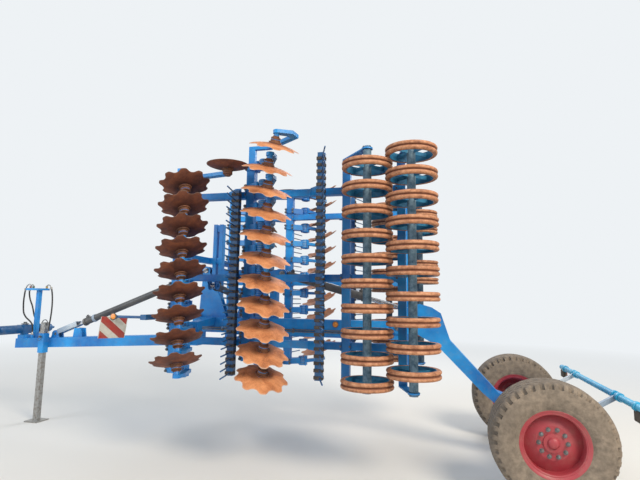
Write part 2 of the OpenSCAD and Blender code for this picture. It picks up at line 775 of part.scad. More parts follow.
// One arm from the cross tube's centre line: clamp, coil spring, retaining plate and blade
module disc_arm(k, hollow) {
    arm_clamp();
    translate([coil_x, 0, coil_z]) coil_spring();
    translate([coil_x + coil_r + 4, -coil_l / 2, coil_z - 42]) cube([16, coil_l, 88]);
    hx = hub_x(k);
    plate_xz(arm_t) {
        x = coil_x + coil_r + 6;
        polygon([[x, coil_z + 42], [x + 50, coil_z + 30], [hx + 42, hub_z + 110], [hx + 44, hub_z],
                 [hx - 40, hub_z - 12], [hx - 30, hub_z + 92], [x + 10, coil_z - 66], [x, coil_z - 44]]);
        translate([hx, hub_z]) circle(r = 45, $fn = 48);
    }
    translate([row_reach[k], hollow * arm_off, -(tool_drop - tube_drop)])
        disc_axis(hollow, attack, lean) hub();
}

// The last arm of the left rear row stands past the tube's end and reaches its hub from behind
end_back = 75;
module end_arm(hollow, out) {
    hx = hub_x(1) + end_back;
    translate([-tube_s / 2 + 10, -out, -30]) cube([tube_s - 20, out + arm_t / 2, 60]);
    plate_xz(arm_t) {
        polygon([[-40, 30], [230, 30], [hx + 190, hub_z + 190], [hx + 170, hub_z + 40],
                 [hx + 20, hub_z - 40], [hx - 30, hub_z + 30], [hx + 90, hub_z + 110],
                 [hx + 100, hub_z + 170], [200, -30], [-40, -30]]);
        translate([hx, hub_z]) circle(r = 45, $fn = 48);
    }
    translate([row_reach[1] + end_back, hollow * arm_off, -(tool_drop - tube_drop)])
        disc_axis(hollow, attack, lean) hub();
}

// The last disc of the left rear row hangs on the end arm, all others on plain arms
function plain_arms(side, k) = wing_row(side, k)[COUNT] - (side == LEFT && k == 1 ? 1 : 0);
module at_arm(side, k, i) {
    translate([wing_x[k], arm_u(wing_row(side, k), i), -tube_drop]) children();
}
function edge_arm_u(side) = arm_u(front_row[side], front_row[side][COUNT] - 1) + 1.08 * pitch;

module front_arms(side) {
    row = front_row[side];
    color(blue) wing(side) {
        for (i = [0:row[COUNT] - 1]) at_arm(side, 0, i) disc_arm(0, row[HOLLOW]);
        translate([wing_x[0], edge_arm_u(side), -tube_drop]) edge_arm();
    }
}

module rear_arms(side) {
    row = rear_row[side];
    last = plain_arms(side, 1);
    color(blue) wing(side) {
        for (i = [0:last - 1]) at_arm(side, 1, i) disc_arm(1, row[HOLLOW]);
        if (last < row[COUNT])
            at_arm(side, 1, last) end_arm(row[HOLLOW], arm_u(row, last) - tube_out(side, 1));
    }
}

module disc_row(side, k) {
    row = wing_row(side, k);
    wing(side) for (i = [0:row[COUNT] - 1])
        translate([wing_x[k] + row_reach[k] + (k == 1 && i >= plain_arms(side, 1) ? end_back : 0),
                   disc_u(row, i), -tool_drop])
            disc_axis(row[HOLLOW], attack, lean) disc(disc_r, dish, notches);
}

// The smooth disc at the outer end of the front row trails on a long arm of its own
edge_x = 815;
edge_dish = 50;
edge_lean = 0;
edge_off = 95;
edge_drop = 400;
edge_stub = edge_off / cos(edge_lean);
module edge_arm() {
    half = tube_s / 2;
    shell = half + 14;
    end_z = -edge_drop - edge_stub * sin(edge_lean);
    plate_xz(clamp_w) difference() {
        square(2 * shell, center = true);
        square(tube_s, center = true);
    }
    plate_xz(arm_t) {
        polygon([[-40, -shell + bite], [50, -shell + bite], [110, -190], [edge_x - 20, end_z + 62],
                 [edge_x + 20, end_z + 40], [edge_x + 10, end_z - 36], [90, -270], [20, -210]]);
        translate([edge_x, end_z]) circle(r = 42, $fn = 48);
    }
    z = flat_z(edge_r, edge_dish);
    translate([edge_x, edge_off, -edge_drop]) disc_axis(1, 0, edge_lean)
        mirror([0, 0, 1]) translate([0, 0, -z]) {
            cylinder(r = flat_r - 5, h = 14, $fn = 64);
            cylinder(r = 48, h = 50, $fn = 64);
            cylinder(r = 28, h = edge_stub + z + 10, $fn = 48);
        }
}

module edge_disc(side) {
    wing(side) translate([wing_x[0] + edge_x, edge_arm_u(side) + edge_off, -tube_drop - edge_drop])
        disc_axis(1, 0, edge_lean) disc(edge_r, edge_dish, 0);
}

// A sloped bracket of the frame that carries a harrow tube
bracket_w = 96;
module harrow_bracket(x, u) {
    top = -tube_drop - tube_s / 2 + bite;
    foot = -harrow_drop + harrow_s / 2;
    translate([0, u, 0]) plate_xz(bracket_w)
        polygon([[x - 175, top], [x - 55, top], [x + harrow_s / 2 - 4, foot], [x - harrow_s / 2, foot]]);
}

// A square tube with a row of straight tines: the front one ends short of the edge disc's arm
edge_clear = 170;
harrow_in = -400;
harrow_out = [edge_arm_u(LEFT) - edge_clear, 2100];
front_sweep = 12;
rear_sweep = 20;
module harrow(side, k, x, sweep_back) {
    color(navy) wing(side) {
        translate([x - harrow_s / 2, harrow_in, -harrow_drop - harrow_s / 2])
            cube([harrow_s, harrow_out[k] - harrow_in, harrow_s]);
        for (u = [harrow_in + 30:tine_pitch:harrow_out[k] - 30])
            rod([x, u, -harrow_drop],
                [x + tine_l * sin(sweep_back), u, -harrow_drop - harrow_s / 2 - tine_l * cos(sweep_back)],
                tine_d / 2);
    }
}

// The roller's two carrier tubes and the links that join them to the rear cross tube
carrier_s = 90;
carrier_x = [wing_x[1] + 1180, wing_x[1] + 1800];
module roller_links(side) {
    first = wing_x[1] + tube_s / 2;
    color(blue) wing(side) for (u = members) {
        translate([first, u - side_w / 2, -tube_drop - tube_s / 2])
            cube([carrier_x[0] - carrier_s / 2 - first, side_w, tube_s]);
        translate([carrier_x[0] + carrier_s / 2, u - side_w / 2, -tube_drop - tube_s / 2])
            cube([carrier_x[1] - carrier_x[0] - carrier_s, side_w, tube_s]);
        harrow_bracket(st(s_rear_harrow), u);
    }
}

ring_first = [-380, -380 + pitch / 2];
plate_t = 14;
end_clear = 18;
plate_u = [ring_first[0] - ring_w / 2 - end_clear,
           ring_first[1] + pitch * (rings - 1) + ring_w / 2 + end_clear];
roller_at = [wing_x[1] + roller_x, wing_x[1] + roller_x + roller_gap];
module roller_frame(side) {
    edge = carrier_s / 2;
    color(blue) wing(side) {
        for (x = carrier_x)
            translate([x - edge, plate_u[0], -tube_drop - edge])
                cube([carrier_s, plate_u[1] - plate_u[0], carrier_s]);
        for (u = plate_u, k = [0, 1]) translate([0, u, 0]) plate_xz(plate_t) difference() {
            union() {
                polygon([[carrier_x[k] - edge, -tube_drop - edge], [carrier_x[k] + edge, -tube_drop - edge],
                         [roller_at[k] + eye_r - 4, 14 - roller_drop],
                         [roller_at[k] - eye_r + 4, -14 - roller_drop]]);
                translate([roller_at[k], -roller_drop]) circle(r = eye_r, $fn = 64);
                translate([carrier_x[k] - edge, -tube_drop - edge]) square(carrier_s);
            }
            translate([roller_at[k], -roller_drop]) circle(r = stub_r + run, $fn = 64);
        }
    }
}

// A ring: two rounded ridges on a flat band, held to the central tube by four flat spokes
module ring_section() {
    ridge = ring_w * 0.24;
    inner = ring_r - ring_depth;
    for (y = [-1, 1]) translate([ring_r - ridge, y * (ring_w / 2 - ridge)]) circle(r = ridge, $fn = 18);
    translate([inner, -ring_w / 2 + 3]) square([ring_depth - ridge + 3, ring_w - 6]);
}
module roller(side, k) {
    inside = [plate_u[0] + plate_t / 2 + slack, plate_u[1] - plate_t / 2 - slack];
    color(rust) wing(side) translate([roller_at[k], 0, -roller_drop]) rotate([-90, 0, 0]) {
        translate([0, 0, inside[0]]) cylinder(r = shaft_r, h = inside[1] - inside[0], $fn = 64);
        translate([0, 0, plate_u[0] - plate_t - 4])
            cylinder(r = stub_r, h = plate_u[1] - plate_u[0] + 2 * plate_t + 8, $fn = 64);
        for (i = [0:rings - 1]) translate([0, 0, ring_first[k] + pitch * i]) {
            rotate_extrude($fn = 80) ring_section();
            for (a = [0:3]) rotate(90 * a + 45)
                translate([shaft_r - 3, -5, -20]) cube([ring_r - ring_depth - shaft_r + 6, 10, 40]);
        }
    }
}

// The knee-shaped arm: two cheeks beside the main beam, joined by a box behind it
cheek_in = beam_w / 2 + slack;
cheek_out = cheek_in + ear_t;
axle_s = 120;
axle_at = [axle_x, axle_z - pivot_z];
arm_upper = [[253, 280], [400, 239], [511, 168], [614, -150], [axle_x - 330, -716], [axle_x + 80, -866]];
arm_lower = [[axle_x + 10, -1030], [axle_x - 260, -930], [axle_x - 500, -727], [463, -214], [237, -90]];
module chassis_arm() {
    color(blue) translate([st(s_pivot), 0, pivot_z]) difference() {
        union() {
            for (y = [-1, 1]) {
                translate([0, y * (cheek_in + ear_t / 2), 0]) plate_xz(ear_t) {
                    circle(r = 90, $fn = 64);
                    polygon(concat([[-58, 69], [130, 250]], arm_upper, arm_lower, [[-50, -75]]));
                }
                translate([lever[0], y * (ear_y + cheek_in + bite) / 2, lever[1]])
                    pin_y(small_eye_r, cheek_in + bite - ear_y);
            }
            plate_xz(2 * cheek_in + 2 * bite) polygon(concat([[265, 20], [420, 140]],
                [for (i = [2:5]) arm_upper[i]], [for (i = [0:3]) arm_lower[i]], [[237, -90]]));
        }
        translate([axle_x, 0, axle_z - pivot_z]) cube([axle_s, 3 * cheek_out, axle_s], center = true);
        pin_y(pin_r + run, 3 * cheek_out);
        translate([lever[0], 0, lever[1]]) pin_y(small_pin_r + run, 3 * cheek_out);
    }
}

// The axle beam with its stubs
stub_axle_r = 45;
hub_l = 240;
module axle() {
    beam = track / 2 - tyre_w / 2 - 90;
    color(blue) translate([st(s_axle), 0, axle_z]) {
        cube([axle_s, 2 * beam, axle_s], center = true);
        pin_y(stub_axle_r, track + hub_l - 30);
    }
}

// The lighting bar behind the wheels and its two links to the axle
link_y = 700;
module light_bar() {
    color("#2ba5cf") translate([st(s_light), 0, light_z]) pin_y(light_r, light_l);
}
module light_bar_links() {
    link = 44;
    dx = light_x - axle_s / 2;
    dz = light_z - axle_z;
    color("#8fc4dd") for (y = [-1, 1]) translate([st(s_axle) + axle_s / 2, y * link_y, axle_z])
        plate_xz(link) difference() {
            union() {
                translate([0, -axle_s / 2]) square([14, axle_s]);
                bar_2d([16, 0], [dx, dz], link);
            }
            translate([dx, dz]) circle(r = light_r, $fn = 64);
        }
}

// A tyre with a rounded crown, drawn as half a section from bead to crown and mirrored
module tyre(side) {
    w = tyre_w / 2;
    half = [[rim_r, w * 0.8], [rim_r + 30, w * 0.9], [rim_r + 110, w], [rim_r + 175, w * 0.98],
            [tyre_r - 38, w * 0.9], [tyre_r - 14, w * 0.76], [tyre_r - 3, w * 0.4]];
    section = concat(half, [for (i = [len(half) - 1:-1:0]) [half[i][0], -half[i][1]]]);
    color(tyre_black) translate([st(s_axle), side_sign[side] * track / 2, axle_z])
        rotate([90, 0, 0]) rotate_extrude($fn = 96) polygon(section);
}

// A rim with a dished disc and a closed hub that turns on the axle's stub
module rim(side) {
    gap = 0.3;
    outer = rim_r - gap;
    w = tyre_w * 0.4;
    color(red) translate([st(s_axle), side_sign[side] * track / 2, axle_z])
        mirror([0, side == LEFT ? 1 : 0, 0]) rotate([-90, 0, 0]) difference() {
            union() {
                rotate_extrude($fn = 96)
                    polygon([[outer - 22, -w], [outer, -w], [outer, w], [outer - 22, w],
                             [outer - 34, w - 30], [outer - 34, 70], [150, 110], [60, 110],
                             [60, 96], [148, 96],
                             [outer - 48, 50], [outer - 48, -w + 40]]);
                translate([0, 0, -hub_l / 2]) cylinder(r = 85, h = hub_l, $fn = 64);
            }
            translate([0, 0, -hub_l / 2 - 1]) cylinder(r = stub_axle_r + run, h = hub_l - 8, $fn = 64);
        }
}

main_beam();
hinge_carriers();
hinge_pins();
tower();
top_beam();
cylinder_brackets();
board_carrier();
warning_boards();
drawbar();
hose_post();
hose(0);  // hose_left
hose(1);  // hose_middle
hose(2);  // hose_right
hitch_crossbar();
parking_stand();
strut_barrel();
strut_rod();
fold_barrel(LEFT);  // fold_barrel_left
fold_barrel(RIGHT);  // fold_barrel_right
fold_rod(LEFT);  // fold_rod_left
fold_rod(RIGHT);  // fold_rod_right
cross_tubes(LEFT);  // cross_tubes_left
side_members(LEFT);  // side_members_left
front_arms(LEFT);  // front_arms_left
rear_arms(LEFT);  // rear_arms_left
disc_row(LEFT, 0);  // front_discs_left
disc_row(LEFT, 1);  // rear_discs_left
edge_disc(LEFT);  // edge_disc_left
harrow(LEFT, 0, st(s_front_harrow), front_sweep);  // front_harrow_left
harrow(LEFT, 1, st(s_rear_harrow), rear_sweep);  // rear_harrow_left
roller_links(LEFT);  // roller_links_left
roller_frame(LEFT);  // roller_frame_left
roller(LEFT, 0);  // roller_front_left
roller(LEFT, 1);  // roller_rear_left
cross_tubes(RIGHT);  // cross_tubes_right
side_members(RIGHT);  // side_members_right
front_arms(RIGHT);  // front_arms_right
rear_arms(RIGHT);  // rear_arms_right
disc_row(RIGHT, 0);  // front_discs_right
disc_row(RIGHT, 1);  // rear_discs_right
edge_disc(RIGHT);  // edge_disc_right
harrow(RIGHT, 0, st(s_front_harrow), front_sweep);  // front_harrow_right
harrow(RIGHT, 1, st(s_rear_harrow), rear_sweep);  // rear_harrow_right
roller_links(RIGHT);  // roller_links_right
roller_frame(RIGHT);  // roller_frame_right
roller(RIGHT, 0);  // roller_front_right
roller(RIGHT, 1);  // roller_rear_right
chassis_arm();
axle();
chassis_barrel();
chassis_rod();
light_bar();
light_bar_links();
tyre(LEFT);  // tyre_left
rim(LEFT);  // rim_left
tyre(RIGHT);  // tyre_right
rim(RIGHT);  // rim_right
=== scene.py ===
"""A trailed compact disc harrow, folded for the road: finishes and small pieces round a fixed frame."""

import json
import math

import bmesh
import bpy
from mathutils import Matrix, Quaternion, Vector


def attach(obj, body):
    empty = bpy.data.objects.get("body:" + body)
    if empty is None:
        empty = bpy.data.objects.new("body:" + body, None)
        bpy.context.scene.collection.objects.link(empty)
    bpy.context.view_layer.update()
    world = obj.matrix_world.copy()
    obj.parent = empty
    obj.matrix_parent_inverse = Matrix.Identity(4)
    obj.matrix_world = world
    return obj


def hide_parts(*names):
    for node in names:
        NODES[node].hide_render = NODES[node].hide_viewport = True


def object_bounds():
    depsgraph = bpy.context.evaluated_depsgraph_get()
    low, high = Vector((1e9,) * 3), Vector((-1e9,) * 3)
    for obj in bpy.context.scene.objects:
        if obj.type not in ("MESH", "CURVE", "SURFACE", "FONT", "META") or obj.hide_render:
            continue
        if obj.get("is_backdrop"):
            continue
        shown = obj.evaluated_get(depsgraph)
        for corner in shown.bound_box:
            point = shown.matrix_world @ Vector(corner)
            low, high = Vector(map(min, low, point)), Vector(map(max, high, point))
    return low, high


bl_info = {
    "name": "Disc Harrow Workshop",
    "version": (1, 0, 0),
    "blender": (4, 5, 0),
    "location": "View3D > Sidebar > Harrow",
    "description": "Builds and finishes a folded compact disc harrow",
    "category": "Object",
}

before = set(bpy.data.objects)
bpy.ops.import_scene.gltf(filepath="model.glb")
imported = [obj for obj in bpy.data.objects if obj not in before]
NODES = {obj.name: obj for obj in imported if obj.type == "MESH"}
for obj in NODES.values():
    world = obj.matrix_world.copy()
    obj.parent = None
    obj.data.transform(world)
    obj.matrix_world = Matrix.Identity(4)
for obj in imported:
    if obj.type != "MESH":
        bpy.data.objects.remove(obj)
BOX_AT_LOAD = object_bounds()
SIDES = ("left", "right")
SIGN = {"left": -1, "right": 1}
MM = 0.001


# Colours as sRGB hex, as a paint chart writes them
def linear(text):
    """The linear RGBA colour of an sRGB hex value."""
    parts = [int(text[i:i + 2], 16) / 255 for i in (1, 3, 5)]
    return tuple(c / 12.92 if c <= 0.04045 else ((c + 0.055) / 1.055) ** 2.4 for c in parts) + (1.0,)


def node(tree, kind, *inputs, out=None, stops=(), **named):
    """Adds a shader node, sets or links its inputs in order or by name, and gives one of its outputs.

    A name in small letters is a property, and stops are a ramp's positions with their colours or greys.
    """
    made = tree.nodes.new("ShaderNode" + kind)
    for name in [n for n in named if n.islower()]:
        setattr(made, name, named.pop(name))
    slots = [s for s in made.inputs if s.enabled]
    by_name = {s.name.replace(" ", "_"): s for s in slots}
    for slot, value in list(zip(slots, inputs)) + [(by_name[n], v) for n, v in named.items()]:
        if isinstance(value, bpy.types.NodeSocket):
            tree.links.new(value, slot)
        else:
            slot.default_value = linear(value) if isinstance(value, str) else value
    if stops:
        bar = made.color_ramp.elements
        while len(bar) < len(stops):
            bar.new(0.5)
        for element, (place, value) in zip(bar, stops):
            element.position = place
            element.color = linear(value) if isinstance(value, str) else (value, value, value, 1)
    return made.outputs[out] if out else next((s for s in made.outputs if s.enabled), None)


class Finish:
    """A material in the making: its nodes, its Object coordinates and the patterns that finishes share."""

    def __init__(self, name):
        self.made = bpy.data.materials.new(name)
        self.made.use_nodes = True
        self.made.node_tree.nodes.clear()
        self.place = self.add("TexCoord", out="Object")

    def add(self, kind, *inputs, **named):
        if kind == "Mix":
            named["data_type"] = "RGBA"
        return node(self.made.node_tree, kind, *inputs, **named)

    def patches(self, size, *stops, detail=6.0, rough=0.6, distortion=0.0):
        """Noise in patches of about size metres, spread over a ramp if it has stops."""
        spread = self.add("TexNoise", self.place, Scale=1 / size, Detail=detail, Roughness=rough,
                          Distortion=distortion)
        return self.add("ValToRGB", spread, stops=stops) if stops else spread

    def done(self, grain=None, **surface):
        """Ends with a Principled shader; grain is a bump's size, detail, roughness, depth and strength."""
        if grain:
            size, detail, rough, depth, strength = grain
            height = self.patches(size, detail=detail, rough=rough)
            surface["Normal"] = self.add("Bump", Height=height, Distance=depth, Strength=strength)
        self.add("OutputMaterial", self.add("BsdfPrincipled", **surface))
        return self.made


# Sprayed two-pack enamel on fabricated steel: bleached by the sun in broad clouds, dusty, chipped to rust
def enamel(name, colour, faded, chips=0.62):
    f = Finish(name)
    cloud = f.patches(0.55, (0.35, 0.0), (0.68, 1.0), detail=4, rough=0.55)
    dust = f.patches(0.09, (0.48, 0.0), (0.75, 0.24), detail=8, rough=0.7)
    dusty = f.add("Mix", dust, f.add("Mix", cloud, colour, faded), "#8d8372")
    chip = f.patches(0.022, (chips, 0.0), (chips + 0.03, 1.0), detail=10, rough=0.75)
    patch = f.patches(0.3, (0.5, 0.0), (0.62, 1.0), detail=3, rough=0.5)
    bare = f.add("Math", chip, patch, operation="MULTIPLY")
    rust = f.add("Mix", f.patches(0.012), "#5a3320", "#9a5c34")
    return f.done(Base_Color=f.add("Mix", bare, dusty, rust),
                  Roughness=f.patches(0.05, (0.3, 0.34), (0.8, 0.6)), Coat_Weight=0.06, Coat_Roughness=0.3,
                  grain=(0.006, 3, 0.5, 0.0006, 0.35))


# Tempered boron steel under a fresh film of rust: orange flour over darker scale
def rusty_steel(name, light, middle, dark, size=0.05):
    f = Finish(name)
    broad = f.patches(size * 5, (0.3, dark), (0.5, middle), (0.72, light), detail=5, distortion=0.6)
    fine = f.patches(size / 4, (0.3, dark), (0.55, middle), (0.8, light), detail=10, rough=0.75)
    return f.done(Base_Color=f.add("Mix", 0.45, broad, fine), Metallic=0.25,
                  Roughness=f.patches(size, (0.3, 0.55), (0.75, 0.85)), grain=(0.004, 6, 0.7, 0.0008, 0.5))


# Vulcanised rubber that has stood in a field: grey-brown dust in the pores, darker where it flexes
def dusty_rubber(name, rubber="#35322f", dust="#968878", size=0.06):
    f = Finish(name)
    base = f.add("Mix", f.patches(size, (0.3, 0.35), (0.65, 0.92), detail=8, rough=0.7), rubber, dust)
    stain = f.patches(size * 7, (0.4, 0.0), (0.7, 0.45), detail=3, rough=0.5)
    return f.done(Base_Color=f.add("Mix", stain, base, "#565049"), Roughness=0.88, Specular_IOR_Level=0.3,
                  grain=(0.005, 5, 0.6, 0.0007, 0.5))


# Extruded black hose cover with cloth-wrap marks round it
def hose_cover(name):
    f = Finish(name)
    wrap = f.add("TexWave", f.place, out="Fac", bands_direction="Z", Scale=60.0, Distortion=0.6)
    return f.done(Base_Color=f.patches(0.05, (0.4, "#141414"), (0.8, "#3d3a36"), rough=0.7), Roughness=0.55,
                  Normal=f.add("Bump", Height=wrap, Distance=0.0004, Strength=0.3))


# Turned or drawn steel: bright where it slides, stained brown elsewhere
def bare_steel(name, bright="#a9a8a4", stain="#6b5a4a", polish=0.3):
    f = Finish(name)
    mark = f.patches(0.03, (0.42, 0.0), (0.7, 0.8), detail=8, rough=0.7)
    return f.done(Base_Color=f.add("Mix", mark, bright, stain), Metallic=0.9,
                  Roughness=f.patches(0.02, (0.3, polish), (0.8, polish + 0.25)),
                  grain=(0.003, 4, 0.6, 0.0004, 0.3))


# Injection-moulded lamp lens, slightly clouded by the weather
def lens_plastic(name, colour, haze):
    f = Finish(name)
    ribs = f.add("TexWave", f.place, out="Fac", bands_direction="Z", Scale=55.0)
    cloud = f.patches(0.03, (0.4, 0.0), (0.8, 0.5), detail=4)
    return f.done(Base_Color=f.add("Mix", cloud, colour, haze), Roughness=0.18, Coat_Weight=0.6,
                  Coat_Roughness=0.1, Normal=f.add("Bump", Height=ribs, Distance=0.001, Strength=0.4))


# Retroreflective film on a sheet steel plate: even colour with a fine cell pattern and a dusty edge.
# The cells are drawn at 6 mm, coarser than real ones, so that they show
def film(name, colour, faded):
    f = Finish(name)
    cells = f.add("TexVoronoi", f.place, Scale=160.0)
    stain = f.patches(0.06, (0.42, 0.0), (0.8, 0.75), detail=7, rough=0.7)
    return f.done(Base_Color=f.add("Mix", stain, colour, faded), Roughness=0.42,
                  Normal=f.add("Bump", Height=cells, Distance=0.0005, Strength=0.3))


# Harrow disc steel: scale in the middle, orange film on the working face, a rim polished by the soil
def disc_steel(name, light, middle, dark, rim):
    f = Finish(name)
    broad = f.patches(0.16, (0.32, dark), (0.48, middle), (0.66, light), detail=5, distortion=0.5)
    fine = f.patches(0.012, (0.3, dark), (0.52, middle), (0.74, light), detail=9, rough=0.72)
    wear = f.add("Attribute", out="Fac", attribute_name="wear")
    scale = f.add("ValToRGB", wear, stops=((0.24, 0.65), (0.5, 0.0)))
    rusty = f.add("Mix", scale, f.add("Mix", 0.4, broad, fine), dark)
    edge = f.add("ValToRGB", wear, stops=((0.955, 0.0), (0.99, 0.75)))
    worn = f.add("Math", edge, f.patches(0.05, (0.35, 0.2), (0.6, 1.0), detail=5), operation="MULTIPLY")
    return f.done(Base_Color=f.add("Mix", worn, rusty, rim), Metallic=0.2,
                  Roughness=f.patches(0.05, (0.3, 0.5), (0.75, 0.8)), grain=(0.004, 6, 0.7, 0.0008, 0.45))


# Rolled ring sections on a painted spider: bare and rusty where they ran on the soil, blue-green inside, and
# darker in each ring's middle groove as painted shade
def roller_steel(name, centre, first):
    f = Finish(name)
    radius = f.add("VectorMath", f.place, (centre[0], centre[1], 0), operation="SUBTRACT")
    radius = f.add("VectorMath", radius, (1, 1, 0), operation="MULTIPLY")
    radius = f.add("VectorMath", radius, operation="LENGTH")
    off = f.add("SeparateXYZ", f.place, out="Z")
    for what, *by in (("SUBTRACT", first - PITCH / 2), ("DIVIDE", PITCH), ("FRACT",), ("SUBTRACT", 0.5),
                      ("ABSOLUTE",), ("MULTIPLY", 4.0)):
        off = f.add("Math", off, *by, operation=what)
    # A darker band along each ring's middle groove, between its two ridges, is painted shade
    groove = f.add("ValToRGB", off, stops=((0.14, 1.0), (0.24, 0.0)))
    groove = f.add("Math", groove, 0.8, operation="MULTIPLY")
    rust = f.patches(0.05, (0.3, "#6e422d"), (0.5, "#ac7552"), (0.72, "#d09d78"), detail=9, rough=0.7)
    teal = f.patches(0.07, (0.35, "#0f5378"), (0.6, "#1f6f92"), (0.8, "#6f6a58"), detail=8, rough=0.65)
    shaft = f.patches(0.05, (0.35, "#36566a"), (0.65, "#6f8896"), detail=8, rough=0.7)
    base = shaft
    # Beyond the shaft's radius lies the spider, and beyond the spider's the ring
    for limit, further in ((0.048, teal), (0.2225, f.add("Mix", groove, rust, "#6f3f2b"))):
        blur = 0.0005 if limit < 0.1 else 0.001
        past = f.add("ValToRGB", radius, stops=((limit - blur, 0.0), (limit + blur, 1.0)))
        base = f.add("Mix", past, base, further)
    return f.done(Base_Color=base, Roughness=0.62, grain=(0.004, 6, 0.7, 0.0007, 0.4))


def known(name):
    """A material that an earlier step made."""
    return bpy.data.materials[name]


def linked(mesh):
    """A new object at the origin for a mesh."""
    made = bpy.data.objects.new(mesh.name, mesh)
    bpy.context.scene.collection.objects.link(made)
    return made


def deselect():
    """Nothing stays selected, so that an operator acts only on what comes next."""
    for thing in list(bpy.context.selected_objects):
        thing.select_set(False)


def active(thing):
    """Makes one object the only selected and active one."""
    deselect()
    thing.select_set(True)
    bpy.context.view_layer.objects.active = thing
    return thing


def edit(thing):
    """Opens one object in edit mode with all of it selected."""
    active(thing)
    bpy.ops.object.mode_set(mode="EDIT")
    bpy.ops.mesh.select_all(action="SELECT")


def close(outwards=True):
    """Leaves edit mode, with all normals turned outwards if asked."""
    if outwards:
        bpy.ops.mesh.select_all(action="SELECT")
        bpy.ops.mesh.normals_make_consistent(inside=False)
    bpy.ops.object.mode_set(mode="OBJECT")


def settle(thing, name, material, smooth=35):
    """Bakes an object's place into its mesh, shades it by angle, names it and gives it its material."""
    active(thing)
    bpy.ops.object.transform_apply(location=True, rotation=True, scale=True)
    thing.name = name
    thing.data.name = name
    thing.data.materials.clear()
    thing.data.materials.append(material)
    bpy.ops.object.shade_smooth_by_angle(angle=math.radians(smooth))
    return thing


def finished(thing, name, material, body, smooth=35):
    """The last step for every new piece: its place, name, finish and body."""
    settle(thing, name, material, smooth)
    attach(thing, body)
    return thing


def apply_modifiers(thing):
    """Applies every modifier of an object in order."""
    active(thing)
    for modifier in list(thing.modifiers):
        bpy.ops.object.modifier_apply(modifier=modifier.name)
    return thing


def joined(things):
    """One object of several."""
    deselect()
    for thing in things:
        thing.select_set(True)
    bpy.context.view_layer.objects.active = things[0]
    bpy.ops.object.join()
    return things[0]


def stamped(pattern, places):
    """One object made of copies of a pattern's mesh, one for each matrix; the pattern is removed."""
    data = bmesh.new()
    data.from_mesh(pattern.data)
    corners = [v.co.copy() for v in data.verts]
    layer = data.verts.layers.float.get("wear")
    wear = [v[layer] for v in data.verts] if layer else []
    faces = [[v.index for v in f.verts] for f in data.faces]
    smooth = [f.smooth for f in data.faces]
    data.free()
    mesh = bpy.data.meshes.new(pattern.name)
    points, polygons = [], []
    for matrix in places:
        start = len(points)
        points += [matrix @ c for c in corners]
        order = -1 if matrix.determinant() < 0 else 1
        polygons += [[start + i for i in f[::order]] for f in faces]
    mesh.from_pydata(points, [], polygons)
    mesh.polygons.foreach_set("use_smooth", smooth * len(places))
    mesh.update()
    if wear:
        mesh.attributes.new("wear", "FLOAT", "POINT").data.foreach_set("value", wear * len(places))
    bpy.data.objects.remove(pattern)
    return linked(mesh)


def placed(thing, matrix):
    """Moves an object by a matrix and bakes the move into its mesh."""
    thing.data.transform(matrix @ thing.matrix_basis)
    thing.matrix_basis = Matrix.Identity(4)
    if matrix.determinant() < 0:
        thing.data.flip_normals()
    return thing


def at(x, y, z):
    """The matrix of a shift."""
    return Matrix.Translation((x, y, z))


def turn(degrees, axis):
    """The matrix of a turn about an axis."""
    return Matrix.Rotation(math.radians(degrees), 4, axis)


def mirror(axis, sign=-1):
    """The matrix that mirrors along an axis, or leaves all in place if the sign is 1."""
    return Matrix.Scale(sign, 4, [float(axis == name) for name in "XYZ"])


def facing(place, direction, spin=0.0):
    """The matrix that puts a pattern's Z axis along a direction at a place."""
    aim = Vector(direction).to_track_quat("Z", "Y").to_matrix().to_4x4()
    return Matrix.Translation(place) @ aim @ Matrix.Rotation(spin, 4, "Z")


def along(a, b):
    """The matrix that puts X on the line from a to b and leaves Y level."""
    d = Vector(b) - Vector(a)
    heading, rise = math.atan2(d.y, d.x), math.atan2(d.z, math.hypot(d.x, d.y))
    return Matrix.Translation(a) @ Matrix.Rotation(heading, 4, "Z") @ Matrix.Rotation(-rise, 4, "Y")


def lathe(profile, steps=32, place=None):
    """A solid turned about Z from (radius, height) points: spun, merged at its poles, normals outwards."""
    mesh = bpy.data.meshes.new("Turned")
    mesh.from_pydata([(r, 0, z) for r, z in profile], [(i, i + 1) for i in range(len(profile) - 1)], [])
    made = linked(mesh)
    edit(made)
    bpy.ops.mesh.spin(steps=steps, angle=2 * math.pi, center=(0, 0, 0), axis=(0, 0, 1))
    bpy.ops.mesh.select_all(action="SELECT")
    bpy.ops.mesh.remove_doubles(threshold=0.00001)
    close()
    return placed(made, place) if place else made


def ring(profile, steps=32, place=None):
    """A hollow turned piece, whose profile closes on its first point."""
    return lathe(profile + profile[:1], steps, place)


def block(size, place=(0, 0, 0), round_by=0.003, segments=2):
    """A cut plate or bar of a size with its edges rounded; the place is the object's own, not its mesh's."""
    deselect()
    bpy.ops.mesh.primitive_cube_add(size=1, location=place)
    made = bpy.context.object
    made.scale = size
    bpy.ops.object.transform_apply(location=False, rotation=False, scale=True)
    edge = made.modifiers.new("Round", "BEVEL")
    edge.width, edge.segments = round_by, segments
    edge.limit_method, edge.angle_limit = "ANGLE", math.radians(30)
    return apply_modifiers(made)


def hexagon(flats, height, place=(0, 0, 0)):
    """A six-sided head or nut on a place, its upper corners chamfered."""
    deselect()
    radius = flats / math.sqrt(3)
    x, y, z = place
    middle = (x, y, z + height / 2)
    bpy.ops.mesh.primitive_cylinder_add(vertices=6, radius=radius, depth=height, location=middle)
    made = bpy.context.object
    edit(made)
    bpy.ops.mesh.select_all(action="DESELECT")
    data = bmesh.from_edit_mesh(made.data)
    for face in data.faces:
        face.select_set(face.normal.z > 0.9)
    bmesh.update_edit_mesh(made.data)
    bpy.ops.mesh.inset(thickness=radius * 0.16, depth=radius * 0.1)
    close(False)
    return made


